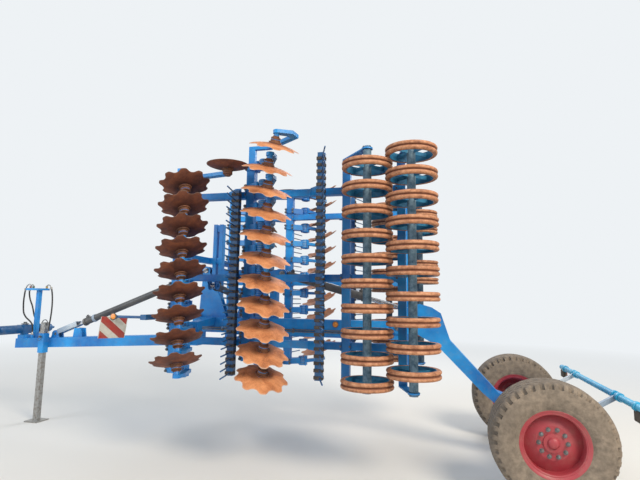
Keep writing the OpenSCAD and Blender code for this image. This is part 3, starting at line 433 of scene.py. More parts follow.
def bolt(flats, stud=0.0, place=None):
    """A washer, a six-sided head and, if it has one, the stud's end, all standing on z = 0, in few faces."""
    washer = flats * 0.12
    parts = [lathe([(0, 0), (flats * 0.78, 0), (flats * 0.78, washer), (0, washer)], 12),
             hexagon(flats, flats * 0.62, (0, 0, washer))]
    if stud:
        r, top = flats * 0.32, flats * 0.7 + stud
        parts.append(lathe([(0, flats / 2), (r, flats / 2), (r, top), (r * 0.7, top + r * 0.3),
                            (0, top + r * 0.3)], 8))
    made = joined(parts)
    edit(made)
    bpy.ops.mesh.dissolve_limited(angle_limit=0.02)
    close(False)
    return placed(made, place) if place else made


def strap(section, width):
    """A bent strap: a section of (x, z) points, extruded to a width along Y."""
    mesh = bpy.data.meshes.new("Strap")
    mesh.from_pydata([(x, -width / 2, z) for x, z in section], [], [tuple(range(len(section)))])
    made = linked(mesh)
    edit(made)
    bpy.ops.mesh.extrude_region_move(TRANSFORM_OT_translate={"value": (0, width, 0)})
    close()
    return made


class HarrowPaint(bpy.types.PropertyGroup):
    """The colours that a user would change."""

    blue: bpy.props.StringProperty(
        name="Blue", description="Frame paint, sRGB hex", default="#0460ac")
    faded: bpy.props.StringProperty(
        name="Faded blue", description="Frame paint bleached by the sun, sRGB hex", default="#1c98de")
    navy: bpy.props.StringProperty(
        name="Navy", description="Paint of the hitch and the harrow tubes, sRGB hex", default="#0f4272")
    cyan: bpy.props.StringProperty(
        name="Cyan", description="Paint of the light bar, sRGB hex", default="#1691bd")
    # The rear discs' rust colour, lightened as painted sunlight
    rust: bpy.props.StringProperty(
        name="Rust", description="Rust on the rear discs, lightened as painted sunlight, sRGB hex", default="#eca873")


class HarrowSizes(bpy.types.PropertyGroup):
    """The sizes that a user would change, in metres."""

    bolt: bpy.props.FloatProperty(
        name="Bolt", description="Width across the flats of a large bolt head", default=0.030, unit="LENGTH")
    hose: bpy.props.FloatProperty(
        name="Hose", description="Outer diameter of a hydraulic hose", default=0.022, unit="LENGTH")
    board: bpy.props.FloatProperty(
        name="Board", description="Side of a warning board", default=0.290, unit="LENGTH")


class HarrowSettings(bpy.types.PropertyGroup):
    """All settings of the harrow."""

    paint: bpy.props.PointerProperty(type=HarrowPaint)
    sizes: bpy.props.PointerProperty(type=HarrowSizes)


def paint_node(name, material):
    """Gives a CAD node its finish."""
    mesh = NODES[name].data
    mesh.materials.clear()
    mesh.materials.append(material)


def settings():
    """The scene's harrow settings."""
    return bpy.context.scene.harrow


# The camera stood at the machine's left rear quarter, at eye height, and looked a little up: its place in
# metres, its angles in degrees
CAMERA_AT = (2.253, -5.898, 1.808)
CAMERA_TURN = 14.146
CAMERA_PITCH = 7.319
CAMERA_ROLL = 0.768
FOCAL_PIXELS = 460
PHOTO_WIDTH = 640
BACKDROP = "#eef2f5"
FLOOR_FADE = 40.0


class HARROW_OT_stage(bpy.types.Operator):
    """Sets up the floor, the soft lights and the camera"""

    bl_idname = "harrow.stage"
    bl_label = "Stage"

    # Name, place, diameter in metres, power in watts and colour of each soft panel
    panels = (("Sun_panel", (9.0, -7.5, 9.0), 5.0, 1500, "#fff3e2"),
              ("Fill_panel", (-8.0, -8.0, 5.0), 7.0, 420, "#e4efff"),
              ("Back_panel", (1.0, 9.0, 8.0), 6.0, 500, "#eef4ff"))

    def execute(self, context):
        context.scene.view_settings.view_transform = "Standard"
        self.floor()
        self.sky(context.scene)
        for panel in self.panels:
            self.lamp(*panel)
        self.camera(context.scene)
        return {"FINISHED"}

    def floor(self):
        """A pale floor that the camera sees fade into the backdrop's colour."""
        deselect()
        bpy.ops.mesh.primitive_plane_add(size=400)
        f = Finish("Pale floor")
        away = f.add("Math", f.add("VectorMath", f.place, operation="LENGTH"), FLOOR_FADE, operation="DIVIDE")
        far = f.add("ValToRGB", away, stops=((0.13, 0.0), (0.26, 0.6), (0.42, 1.0)))
        seen = f.add("Math", far, f.add("LightPath", out="Is Camera Ray"), operation="MULTIPLY")
        matt = f.add("BsdfPrincipled", Base_Color="#d9d6cf", Roughness=0.9)
        f.add("OutputMaterial", f.add("MixShader", seen, matt, f.add("Emission", BACKDROP, 1.0)))
        plane = settle(bpy.context.object, "Floor", f.made)
        plane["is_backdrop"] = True

    def sky(self, scene):
        """The backdrop for the camera and for reflections, and a dimmer light for all else."""
        world = scene.world or bpy.data.worlds.new("World")
        scene.world = world
        world.use_nodes = True
        tree = world.node_tree
        tree.nodes.clear()
        rays = 0.0
        for kind in ("Is Camera Ray", "Is Glossy Ray", "Is Transmission Ray"):
            rays = node(tree, "Math", rays, node(tree, "LightPath", out=kind), operation="MAXIMUM")
        both = [node(tree, "Background", *light) for light in (("#e6edf5", 0.75), (BACKDROP, 1.0))]
        node(tree, "OutputWorld", node(tree, "MixShader", rays, *both))

    def lamp(self, name, place, size, power, colour):
        light = bpy.data.lights.new(name, "AREA")
        light.shape = "DISK"
        light.size = size
        light.energy = power
        light.color = linear(colour)[:3]
        made = bpy.data.objects.new(name, light)
        made.location = place
        aim = Vector((0.0, 0.0, 1.4)) - Vector(place)
        made.rotation_euler = aim.to_track_quat("-Z", "Y").to_euler()
        bpy.context.scene.collection.objects.link(made)

    def camera(self, scene):
        lens = bpy.data.cameras.new("Camera")
        lens.sensor_width = 36
        lens.lens = FOCAL_PIXELS / PHOTO_WIDTH * lens.sensor_width
        made = bpy.data.objects.new("Camera", lens)
        heading, pitch = math.radians(CAMERA_TURN), math.radians(CAMERA_PITCH)
        ahead = Vector((-math.sin(heading) * math.cos(pitch), math.cos(heading) * math.cos(pitch),
                        math.sin(pitch)))
        roll = Quaternion((0, 0, 1), math.radians(CAMERA_ROLL))
        made.location = CAMERA_AT
        made.rotation_mode = "QUATERNION"
        made.rotation_quaternion = ahead.to_track_quat("-Z", "Y") @ roll
        scene.collection.objects.link(made)
        scene.camera = made


class HARROW_OT_paint(bpy.types.Operator):
    """Gives every part of the frame its finish"""

    bl_idname = "harrow.paint"
    bl_label = "Paint"

    def execute(self, context):
        paint = settings().paint
        hose_cover("Black hose cover")
        finishes = (
            (enamel("Blue two-pack enamel", paint.blue, paint.faded),
             ("main_beam", "hinge_carriers", "tower", "top_beam", "cylinder_brackets", "drawbar", "hose_post",
              "chassis_arm", "axle", "cross_tubes", "side_members", "front_arms", "rear_arms", "roller_links",
              "roller_frame")),
            (enamel("Navy two-pack enamel", paint.navy, "#1c5f92"),
             ("board_carrier", "hitch_crossbar", "front_harrow", "rear_harrow")),
            (enamel("Sky blue enamel", paint.cyan, "#46b3d8"), ("light_bar",)),
            (enamel("Pale blue-grey enamel, worn", "#7f93a8", "#b9c4cc", 0.56), ("light_bar_links",)),
            (enamel("Grey cylinder enamel", "#3b3b3d", "#5b5a58", 0.66),
             ("strut_barrel", "chassis_barrel", "fold_barrel")),
            (bare_steel("Chromed piston rod", "#c8cacc", "#7d6c58", 0.14),
             ("strut_rod", "chassis_rod", "fold_rod")),
            (bare_steel("Drawn steel"), ("hinge_pins", "parking_stand")),
            (rusty_steel("Boron steel with flash rust", paint.rust, "#a9602f", "#4a2c1c"),
             ("front_discs", "rear_discs", "edge_disc", "roller_front", "roller_rear")),
            (dusty_rubber("Field tyre rubber"), ("tyre",)),
            (enamel("Wine red enamel", "#8b1a2a", "#a8474d"), ("rim",)),
        )
        for material, names in finishes:
            for full in [name + end for name in names for end in ("", "_left", "_right")]:
                if full in NODES:
                    paint_node(full, material)
        return {"FINISHED"}


# The frame's own sizes and stations, in metres, as its source has them; the first of two is the front row's
FOLD = Vector((0.0, 0.5, 1.35))
TUBE_X = (-0.8535, 0.0965)
TUBE_DEPTH = 0.28
TOOL_DEPTH = 0.72
PITCH = 0.25
DISC_RADIUS, DISH, DISC_WALL = 0.286, 0.056, 0.006
EDGE_RADIUS, EDGE_DISH = 0.240, 0.050
DISC_FLAT = 0.075
ATTACK, LEAN = 17, 16
REACH = (0.300, 0.360)
ARM_OFFSET = 0.165
END_BACK = 0.075
MEMBERS = (-0.055, 0.695, 1.695)
CARRIER_X = (1.2765, 1.8965)
ROLLER_X = (1.5665, 2.0265)
ROLLER_Y, ROLLER_DEPTH, RINGS = 1.16, 0.66, 10
RING_FIRST = (-0.380, -0.255)
# Name, place and outer end of each levelling harrow
HARROWS = (("front", 0.0065, 1.705), ("rear", 1.0265, 2.10))
HARROW_IN, HARROW_DEPTH, TINE_PITCH, TINE_MARGIN = -0.40, 0.50, 0.075, 0.03
# First disc's place along the wing, number of discs, and 1 where the hollow side faces outwards or -1
ROWS = {("left", 0): (-0.230, 9, 1), ("right", 0): (-0.340, 9, -1),
        ("left", 1): (-0.380, 11, -1), ("right", 1): (-0.290, 11, 1)}
ROW_NAMES = ("front", "rear")
BEAM_SIDE = 0.1


def wing(side, x, u, v):
    """The place x rearwards, u outwards along a wing and v upwards in work, turned up to the folded wing."""
    return mirror("Y", SIGN[side]) @ Matrix.Translation(FOLD) @ turn(90, "X") @ at(x, u, v)


def tilted(hollow, attack, lean):
    """Turns a disc's axis to the direction of its hollow side."""
    return turn(hollow * attack, "Z") @ turn(-hollow * (90 - lean), "X")


def plain_arms(side, k):
    """How many arms of a row stand on the cross tube itself."""
    return ROWS[side, k][1] - (1 if (side, k) == ("left", 1) else 0)


def disc_places(side, k):
    """One matrix for each disc of a row."""
    first, count, hollow = ROWS[side, k]
    x = TUBE_X[k] + REACH[k]
    return [wing(side, x + (END_BACK if i >= plain_arms(side, k) else 0), first + PITCH * i, -TOOL_DEPTH)
            @ tilted(hollow, ATTACK, LEAN) for i in range(count)]


def edge_place(side):
    """The matrix of the smooth disc at the front row's outer end."""
    first, count, hollow = ROWS[side, 0]
    u = first + PITCH * (count - 1) - hollow * ARM_OFFSET + 1.08 * PITCH + 0.095
    return wing(side, TUBE_X[0] + 0.815, u, -0.68) @ tilted(1, 0, 0)


def arm_places(side, k):
    """One matrix for each plain arm of a row, at its tube's centre line."""
    first, _, hollow = ROWS[side, k]
    return [wing(side, TUBE_X[k], first + PITCH * i - hollow * ARM_OFFSET, -TUBE_DEPTH)
            for i in range(plain_arms(side, k))]


def bowl(radius, dish, r):
    """How far a dished disc's outer face lies above its vertex plane at a radius, flat round its hub."""
    ball = (radius ** 2 + dish ** 2) / (2 * dish)
    return ball - dish - math.sqrt(ball ** 2 - max(r, DISC_FLAT) ** 2)


class HARROW_OT_discs(bpy.types.Operator):
    """Replaces the discs by wavy ones with ground rims, and adds the smooth edge discs"""

    bl_idname = "harrow.discs"
    bl_label = "Discs"

    def execute(self, context):
        # Two copies of one rusty disc steel: the lighter, more orange one on the rear rows is painted
        # sunlight, and the darker one on the front rows and the edge discs is painted shade
        sunlit_disc_steel = disc_steel("Boron steel disc with flash rust", settings().paint.rust, "#c47d4e", "#6b3e28",
                           "#c9b7a6")
        shaded_disc_steel = disc_steel("Boron steel disc with dull rust", "#a2603c", "#764431", "#3c2620", "#7d6a5c")
        for side in SIDES:
            body = "wing_" + side
            for k, row in enumerate(ROW_NAMES):
                piece = stamped(self.plate(DISC_RADIUS, DISH, True), disc_places(side, k))
                # The front row takes the copy with painted shade, the rear row the copy with painted sunlight
                finished(piece, f"{row}_disc_plates_{side}", (shaded_disc_steel, sunlit_disc_steel)[k], body, 30)
                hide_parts(f"{row}_discs_{side}")
            edge = stamped(self.plate(EDGE_RADIUS, EDGE_DISH, False), [edge_place(side)])
            finished(edge, "edge_disc_plate_" + side, shaded_disc_steel, body, 30)
            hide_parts("edge_disc_" + side)
        return {"FINISHED"}

    def plate(self, radius, dish, wavy):
        """A dished plate with a ground rim; its points keep their radius as wear, and waves move them."""
        bore, root = 0.021, 0.16
        steps = [bore, DISC_FLAT] + [r * radius / DISC_RADIUS for r in (0.12, 0.17, 0.215, 0.25, 0.272)]
        under = [(r, bowl(radius, dish, r)) for r in steps]
        over = [(r, z + DISC_WALL) for r, z in reversed(under)]
        made = ring(under + [(radius, 0.0012), (radius, 0.0030)] + over, 144 if wavy else 96)
        wear = made.data.attributes.new("wear", "FLOAT", "POINT")
        for point in made.data.vertices:
            x, y, z = point.co
            r = math.hypot(x, y)
            wear.data[point.index].value = r / radius
            if r > root:
                limit = self.outline(math.atan2(y, x)) if wavy else radius
                pulled = root + (r - root) * (limit - root) / (radius - root)
                fall = bowl(radius, dish, pulled) - bowl(radius, dish, r)
                point.co = (x * pulled / r, y * pulled / r, z + fall)
        return made

    def outline(self, angle):
        """The rim's radius at an angle: nine scallops, softened where they meet the lobes."""
        centre, cut, step = DISC_RADIUS + 0.03375, 0.075, math.radians(40)
        total = 0
        for shift in (-2.5, 0, 2.5):
            off = (angle + math.radians(shift) + step / 2) % step - step / 2
            reach = abs(centre * math.sin(off))
            deep = centre * math.cos(off) - math.sqrt(cut ** 2 - reach ** 2) if reach < cut else DISC_RADIUS
            total += min(DISC_RADIUS, deep) / 3
        return total


class HARROW_OT_hubs(bpy.types.Operator):
    """Adds the sealed hubs behind the discs and the bolts and caps on their hollow sides"""

    bl_idname = "harrow.hubs"
    bl_label = "Hubs"

    def execute(self, context):
        iron = rusty_steel("Cast hub with rust and oily dust", "#a06a48", "#6e4630", "#33241c", 0.03)
        bright = bare_steel("Zinc plated bolt", "#8d8a84", "#6f543e", 0.4)
        seat = bowl(DISC_RADIUS, DISH, 0)
        for side in SIDES:
            body = "wing_" + side
            for k, row in enumerate(ROW_NAMES):
                places = disc_places(side, k)
                finished(stamped(self.hub(seat), places), f"{row}_hubs_{side}", iron, body)
                heads = stamped(bolt(0.019), [p @ turn(72 * i, "Z") @ at(0.05, 0, seat + DISC_WALL)
                                              for p in places for i in range(5)])
                finished(heads, f"{row}_hub_bolts_{side}", bright, body)
            edge = stamped(self.hub(-0.045), [edge_place(side)])
            finished(edge, "edge_hub_" + side, iron, body)
        return {"FINISHED"}

    def hub(self, z):
        """Flange, ribbed body, seal and collar below a disc, with a low cap above its hole."""
        body = [(0, 1), (71, 1), (73, 6), (71, 16), (58, 19), (54.5, 27), (54.5, 40), (51.5, 42), (51.5, 47),
                (54.5, 49), (54, 62), (46, 69), (36, 71), (34, 84), (0, 84)]
        cap = [(0, 22), (18, 20), (29, 13), (31, 5.5), (0, 5.5)]
        return joined([lathe([(r * MM, z - down * MM) for r, down in body], 36),
                       lathe([(r * MM, z + up * MM) for r, up in cap], 24)])


class HARROW_OT_springs(bpy.types.Operator):
    """Winds a wire coil round each arm's spring core"""

    bl_idname = "harrow.springs"
    bl_label = "Springs"

    def execute(self, context):
        blue = enamel("Blue spring enamel, chipped", settings().paint.blue, "#8fb9d4", 0.5)
        for side in SIDES:
            for k, row in enumerate(ROW_NAMES):
                cores = [p @ at(0.196, 0, -0.118) @ turn(90, "X") for p in arm_places(side, k)]
                coils = stamped(self.coil(), cores)
                finished(coils, f"{row}_springs_{side}", blue, "wing_" + side, 60)
        return {"FINISHED"}

    def coil(self):
        """Five turns of 25 mm wire, wound by a Screw modifier and closed at both ends."""
        deselect()
        bpy.ops.mesh.primitive_circle_add(
            vertices=8, radius=0.0125, location=(0.0472, 0, -0.065), rotation=(math.pi / 2, 0, 0))
        made = bpy.context.object
        bpy.ops.object.transform_apply(location=True, rotation=True, scale=True)
        wind = made.modifiers.new("Wind", "SCREW")
        wind.axis = "Z"
        wind.angle = 2 * math.pi
        wind.screw_offset = 0.026
        wind.iterations = 5
        wind.steps = wind.render_steps = 18
        wind.use_normal_calculate = True
        apply_modifiers(made)
        edit(made)
        bpy.ops.mesh.remove_doubles(threshold=0.00001)
        bpy.ops.mesh.select_all(action="DESELECT")
        bpy.ops.mesh.select_non_manifold()
        bpy.ops.mesh.edge_face_add()
        close()
        return made


class HARROW_OT_clamps(bpy.types.Operator):
    """Adds the cap plates, studs and nuts that hold the arms, and the bolted flanges of the frame"""

    bl_idname = "harrow.clamps"
    bl_label = "Clamps"

    # The studs' places along and across a tube, and the heights of the clamp's faces over its centre line
    stud_x, stud_y = 0.056, 0.022
    underside, top = -0.064, 0.076
    # Where side members meet a cross tube or carrier: its middle, and how far from there its face lies
    joints = ((TUBE_X[0], 0.057), (TUBE_X[1], -0.057), (TUBE_X[1], 0.057),
              (CARRIER_X[0], -0.052), (CARRIER_X[0], 0.052), (CARRIER_X[1], -0.052))

    def execute(self, context):
        blue = known("Blue two-pack enamel")
        zinc = bare_steel("Dull zinc stud", "#7f8589", "#5f4c3c", 0.45)
        under = turn(180, "X")
        for side in SIDES:
            body = "wing_" + side
            for k, row in enumerate(ROW_NAMES):
                places = arm_places(side, k)
                caps = stamped(block((0.146, 0.074, 0.012)), places)
                finished(caps, f"{row}_clamp_caps_{side}", blue, body)
                nuts = []
                for i, p in enumerate(places):
                    # The left front row's first clamp passes close under the beam's head when unfolded
                    front = () if (side, k, i) == ("left", 0, 0) else (-self.stud_x,)
                    for y in (-self.stud_y, self.stud_y):
                        nuts.append(p @ at(-self.stud_x, y, self.underside) @ under)
                        nuts += [p @ at(x, y, self.top) for x in front + (self.stud_x,)]
                studs = stamped(bolt(settings().sizes.bolt * 0.8, 0.008), nuts)
                finished(studs, f"{row}_clamp_studs_{side}", zinc, body)
            flanges = [wing(side, middle + off, u, -TUBE_DEPTH)
                       for u in MEMBERS for middle, off in self.joints]
            plates = stamped(block((0.013, 0.094, 0.136)), flanges)
            finished(plates, "frame_flanges_" + side, blue, body)
            screws = stamped(bolt(0.016), [f @ end for f in flanges
                                           for end in (at(0, 0, -0.067) @ under, at(0, 0, 0.067))])
            finished(screws, "frame_screws_" + side, zinc, body)
        return {"FINISHED"}


class HARROW_OT_tines(bpy.types.Operator):
    """Adds the holders of the levelling harrows' tines"""

    bl_idname = "harrow.tines"
    bl_label = "Tines"

    # Section of the strap that holds a tine round its tube, with its two bends cut off
    grip = [(-0.050, 0.015), (-0.050, -0.046), (-0.046, -0.050), (0.046, -0.050), (0.050, -0.046),
            (0.050, 0.015), (0.040, 0.015), (0.040, -0.040), (-0.040, -0.040), (-0.040, 0.015)]

    def execute(self, context):
        steel = rusty_steel("Spring steel holder", "#6d6258", "#4a423c", "#2a2623", 0.03)
        for side in SIDES:
            for row, x, out in HARROWS:
                first = HARROW_IN + TINE_MARGIN
                count = int((out - TINE_MARGIN - first) / TINE_PITCH + 1.0001)
                places = [wing(side, x, first + TINE_PITCH * i, -HARROW_DEPTH) for i in range(count)]
                nuts = [p @ at(0.05, 0, -0.012) @ turn(90, "Y") for p in places]
                for name, pattern, spots in (("grips", strap(self.grip, 0.034), places),
                                             ("nuts", hexagon(0.018, 0.010), nuts)):
                    finished(stamped(pattern, spots), f"{row}_tine_{name}_{side}", steel, "wing_" + side)
        return {"FINISHED"}


class HARROW_OT_bearings(bpy.types.Operator):
    """Adds the flanged bearings at the rollers' ends and finishes the rollers"""

    bl_idname = "harrow.bearings"
    bl_label = "Bearings"

    housing = [(0.030, 0), (0.056, 0), (0.058, 0.005), (0.050, 0.012), (0.042, 0.018), (0.036, 0.024),
               (0.030, 0.024)]

    def execute(self, context):
        iron = enamel("Bearing housing enamel", "#1a4f80", "#5b86a3", 0.55)
        ends = ((RING_FIRST[0] - 0.064, -1), (RING_FIRST[1] + PITCH * (RINGS - 1) + 0.064, 1))
        for side in SIDES:
            body = "wing_" + side
            places = [wing(side, x, u + out * 0.007, -ROLLER_DEPTH) @ turn(-out * 90, "X")
                      for x in ROLLER_X for u, out in ends]
            housings = stamped(ring(self.housing, 32), places)
            finished(housings, "roller_bearings_" + side, iron, body)
            screws = stamped(bolt(0.013), [p @ turn(90 * i + 45, "Z") @ at(0.049, 0, 0.010)
                                           for p in places for i in range(4)])
            finished(screws, "bearing_screws_" + side, known("Dull zinc stud"), body)
            for k, row in enumerate(ROW_NAMES):
                centre = (ROLLER_X[k], SIGN[side] * ROLLER_Y)
                steel = roller_steel(f"Ring steel {row} {side}", centre, FOLD.z + RING_FIRST[k])
                paint_node(f"roller_{row}_{side}", steel)
        return {"FINISHED"}


# Each hose's route, in millimetres: station behind the hitch, place across and height. The number is the
# point where the hose ends in its steel elbow; then come the hose's length up to there, in metres, and its
# coupling's colour
HOSES = {
    "left": ([(214, -66, 1215), (214, -66, 1245), (214, -66, 1285), (208, -72, 1360), (165, -84, 1420),
              (105, -94, 1470), (56, -99, 1540), (38, -100, 1640), (32, -98, 1740), (32, -92, 1830),
              (40, -86, 1915), (66, -81, 1962), (98, -77, 1975), (114, -75, 1955), (116, -75, 1935),
              (116, -75, 1915)], 10, 0.764, "#9c2430"),
    "middle": ([(214, 66, 1215), (214, 66, 1245), (214, 66, 1285), (208, 58, 1360), (172, 40, 1420),
                (142, 20, 1480), (130, 2, 1560), (106, -6, 1650), (64, -12, 1740), (40, -14, 1830),
                (42, -16, 1910), (64, -18, 1958), (96, -20, 1970), (112, -20, 1952), (114, -20, 1934),
                (114, -20, 1915)], 10, 0.738, "#2f6f3a"),
    "right": ([(400, 40, 1225), (400, 40, 1255), (400, 40, 1290), (404, 46, 1370), (408, 54, 1460),
               (406, 64, 1560), (398, 74, 1660), (386, 80, 1760), (368, 82, 1860), (342, 82, 1935),
               (308, 82, 1968), (280, 82, 1968), (264, 82, 1952), (262, 82, 1935), (262, 82, 1915)],
              9, 0.719, "#c9a227"),
}
STATION_ZERO = 3913.5


def smoothed(points):
    """The points of a route with one more between each two, on a smooth curve through all of them."""
    made = []
    last = len(points) - 1
    for i in range(last):
        a, b, c, d = points[max(i - 1, 0)], points[i], points[i + 1], points[min(i + 2, last)]
        made += [b, (9 * (b + c) - a - d) / 16]
    return made + [points[last]]


class HARROW_OT_hoses(bpy.types.Operator):
    """Lays the three hydraulic hoses from the drawbar's glands up over the post's rail"""

    bl_idname = "harrow.hoses"
    bl_label = "Hoses"

    # Profiles of the crimped collar, the quick coupling and its coloured sleeve
    collar = [(0.0112, 0), (0.0165, 0), (0.0165, 0.008), (0.0145, 0.011), (0.0145, 0.036), (0.0125, 0.041),
              (0.0112, 0.041)]
    coupling = [(0.0082, 0), (0.0150, 0), (0.0150, 0.004), (0.0140, 0.005), (0.0140, 0.026), (0.0165, 0.027),
                (0.0165, 0.036), (0.0120, 0.042), (0.0082, 0.042)]
    sleeve = [(0.0142, 0.008), (0.0168, 0.009), (0.0172, 0.012), (0.0172, 0.021), (0.0168, 0.024),
              (0.0142, 0.025)]

    def execute(self, context):
        crimp = bare_steel("Crimped zinc ferrule", "#a8a9a6", "#7a6650", 0.32)
        width = settings().sizes.hose
        for name, (route, end, length, colour) in HOSES.items():
            points = smoothed([Vector(((s - STATION_ZERO) * MM, y * MM, z * MM)) for s, y, z in route])
            run, bend = points[:2 * end + 1], points[2 * end:]
            hose = self.tube("hose_run_" + name, run, width / 2)
            hose.data.materials.append(known("Black hose cover"))
            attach(hose, "drawbar")
            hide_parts("hose_" + name)
            elbow = self.tube("Elbow", bend, 0.0085)
            active(elbow)
            bpy.ops.object.convert(target="MESH")
            ends = [Matrix.Translation(run[0]), facing(bend[0], run[-2] - run[-1])]
            top = Matrix.Translation(bend[-1])
            collars = stamped(joined([ring(self.collar, 20), hexagon(0.032, 0.012)]), ends)
            fittings = joined([elbow, collars, ring(self.coupling, 24, top)])
            finished(fittings, "hose_fittings_" + name, crimp, "drawbar")
            plastic = lens_plastic("Moulded coupling sleeve " + name, colour, "#6d675c")
            mark = ring(self.sleeve, 24, top)
            finished(mark, "hose_marks_" + name, plastic, "drawbar")
            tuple(run[0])
        return {"FINISHED"}

    def tube(self, name, points, radius):
        """A round tube through points, as a Bezier curve."""
        line = bpy.data.curves.new(name, "CURVE")
        line.dimensions = "3D"
        line.bevel_depth = radius
        line.bevel_resolution = 4
        line.resolution_u = 4
        spline = line.splines.new("BEZIER")
        spline.bezier_points.add(len(points) - 1)
        for knot, place in zip(spline.bezier_points, points):
            knot.co = place
            knot.handle_left_type = knot.handle_right_type = "AUTO"
        return linked(line)


class HARROW_OT_boards(bpy.types.Operator):
    """Builds the two striped boards with their bars and the round reflectors"""

    bl_idname = "harrow.boards"
    bl_label = "Boards"

    lens = [(0, 0.014), (0.016, 0.0132), (0.030, 0.0105), (0.0335, 0.004), (0.0335, 0), (0, 0)]
    shell = [(0.034, 0), (0.041, 0), (0.041, 0.008), (0.038, 0.012), (0.034, 0.012)]
    stripe = 0.082

    def execute(self, context):
        red = film("Red retroreflective film", "#a8342c", "#8d5a4c")
        white = film("White retroreflective film", "#cfcdc2", "#a29a87")
        amber = lens_plastic("Amber reflector lens", "#f08c1a", "#d9a35a")
        bars, plates, lenses, shells = [], [], [], []
        for side in SIDES:
            across = mirror("Y", -SIGN[side])
            root = across @ at(-1.0035, -1.22, 1.575)
            bar = joined([block((0.385, 0.030, 0.030), (-0.1925, 0, 0), 0.004),
                          block((0.014, 0.060, 0.060), (-0.007, 0, 0)),
                          block((0.030, 0.038, 0.050), (-0.370, 0, -0.004))])
            bars.append(placed(bar, root))
            hung = root @ at(-0.370, 0, 0) @ turn(-42, "Z") @ turn(28, "Y")
            plates.append(placed(self.plate(red, white), hung))
            for spot in (root @ at(-0.372, -0.020, 0.002), across @ at(1.007, -0.0902, 1.49)):
                lenses.append(lathe(self.lens, 32, spot @ turn(90, "X")))
                shells.append(ring(self.shell, 32, spot @ turn(90, "X")))
        finished(joined(bars), "board_bars", known("Navy two-pack enamel"), "frame")
        plate = active(joined(plates))
        bpy.ops.object.shade_smooth_by_angle(angle=math.radians(30))
        plate.name = plate.data.name = "board_plates"
        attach(plate, "frame")
        finished(joined(lenses), "amber_lenses", amber, "frame")
        finished(joined(shells), "reflector_rims", known("Field tyre rubber"), "frame")
        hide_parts("warning_boards")
        return {"FINISHED"}

    def plate(self, red, white):
        """A folded sheet plate cut by slanting lines, its bands red and white in turn."""
        side = settings().sizes.board
        middle = Vector((0, 0, -side / 2))
        made = block((0.004, side, side), middle, 0.0012, 1)
        bpy.ops.object.transform_apply(location=True, rotation=True, scale=True)
        slant = Vector((0, 1, 1)).normalized()
        edit(made)
        for i in range(-3, 4):
            bpy.ops.mesh.select_all(action="SELECT")
            bpy.ops.mesh.bisect(plane_co=middle + slant * (i + 0.5) * self.stripe, plane_no=slant)
        close(False)
        made.data.materials.append(red)
        made.data.materials.append(white)
        for face in made.data.polygons:
            band = (face.center - middle).dot(slant) / self.stripe
            face.material_index = int(math.floor(band + 0.5)) % 2
        edge = side / 2 - 0.003
        rim = [block((0.007, 0.006, side - 0.004), (0, y, -side / 2), 0.001, 1) for y in (-edge, edge)]
        for strip in rim:
            strip.data.materials.append(white)
        return joined([made] + rim)


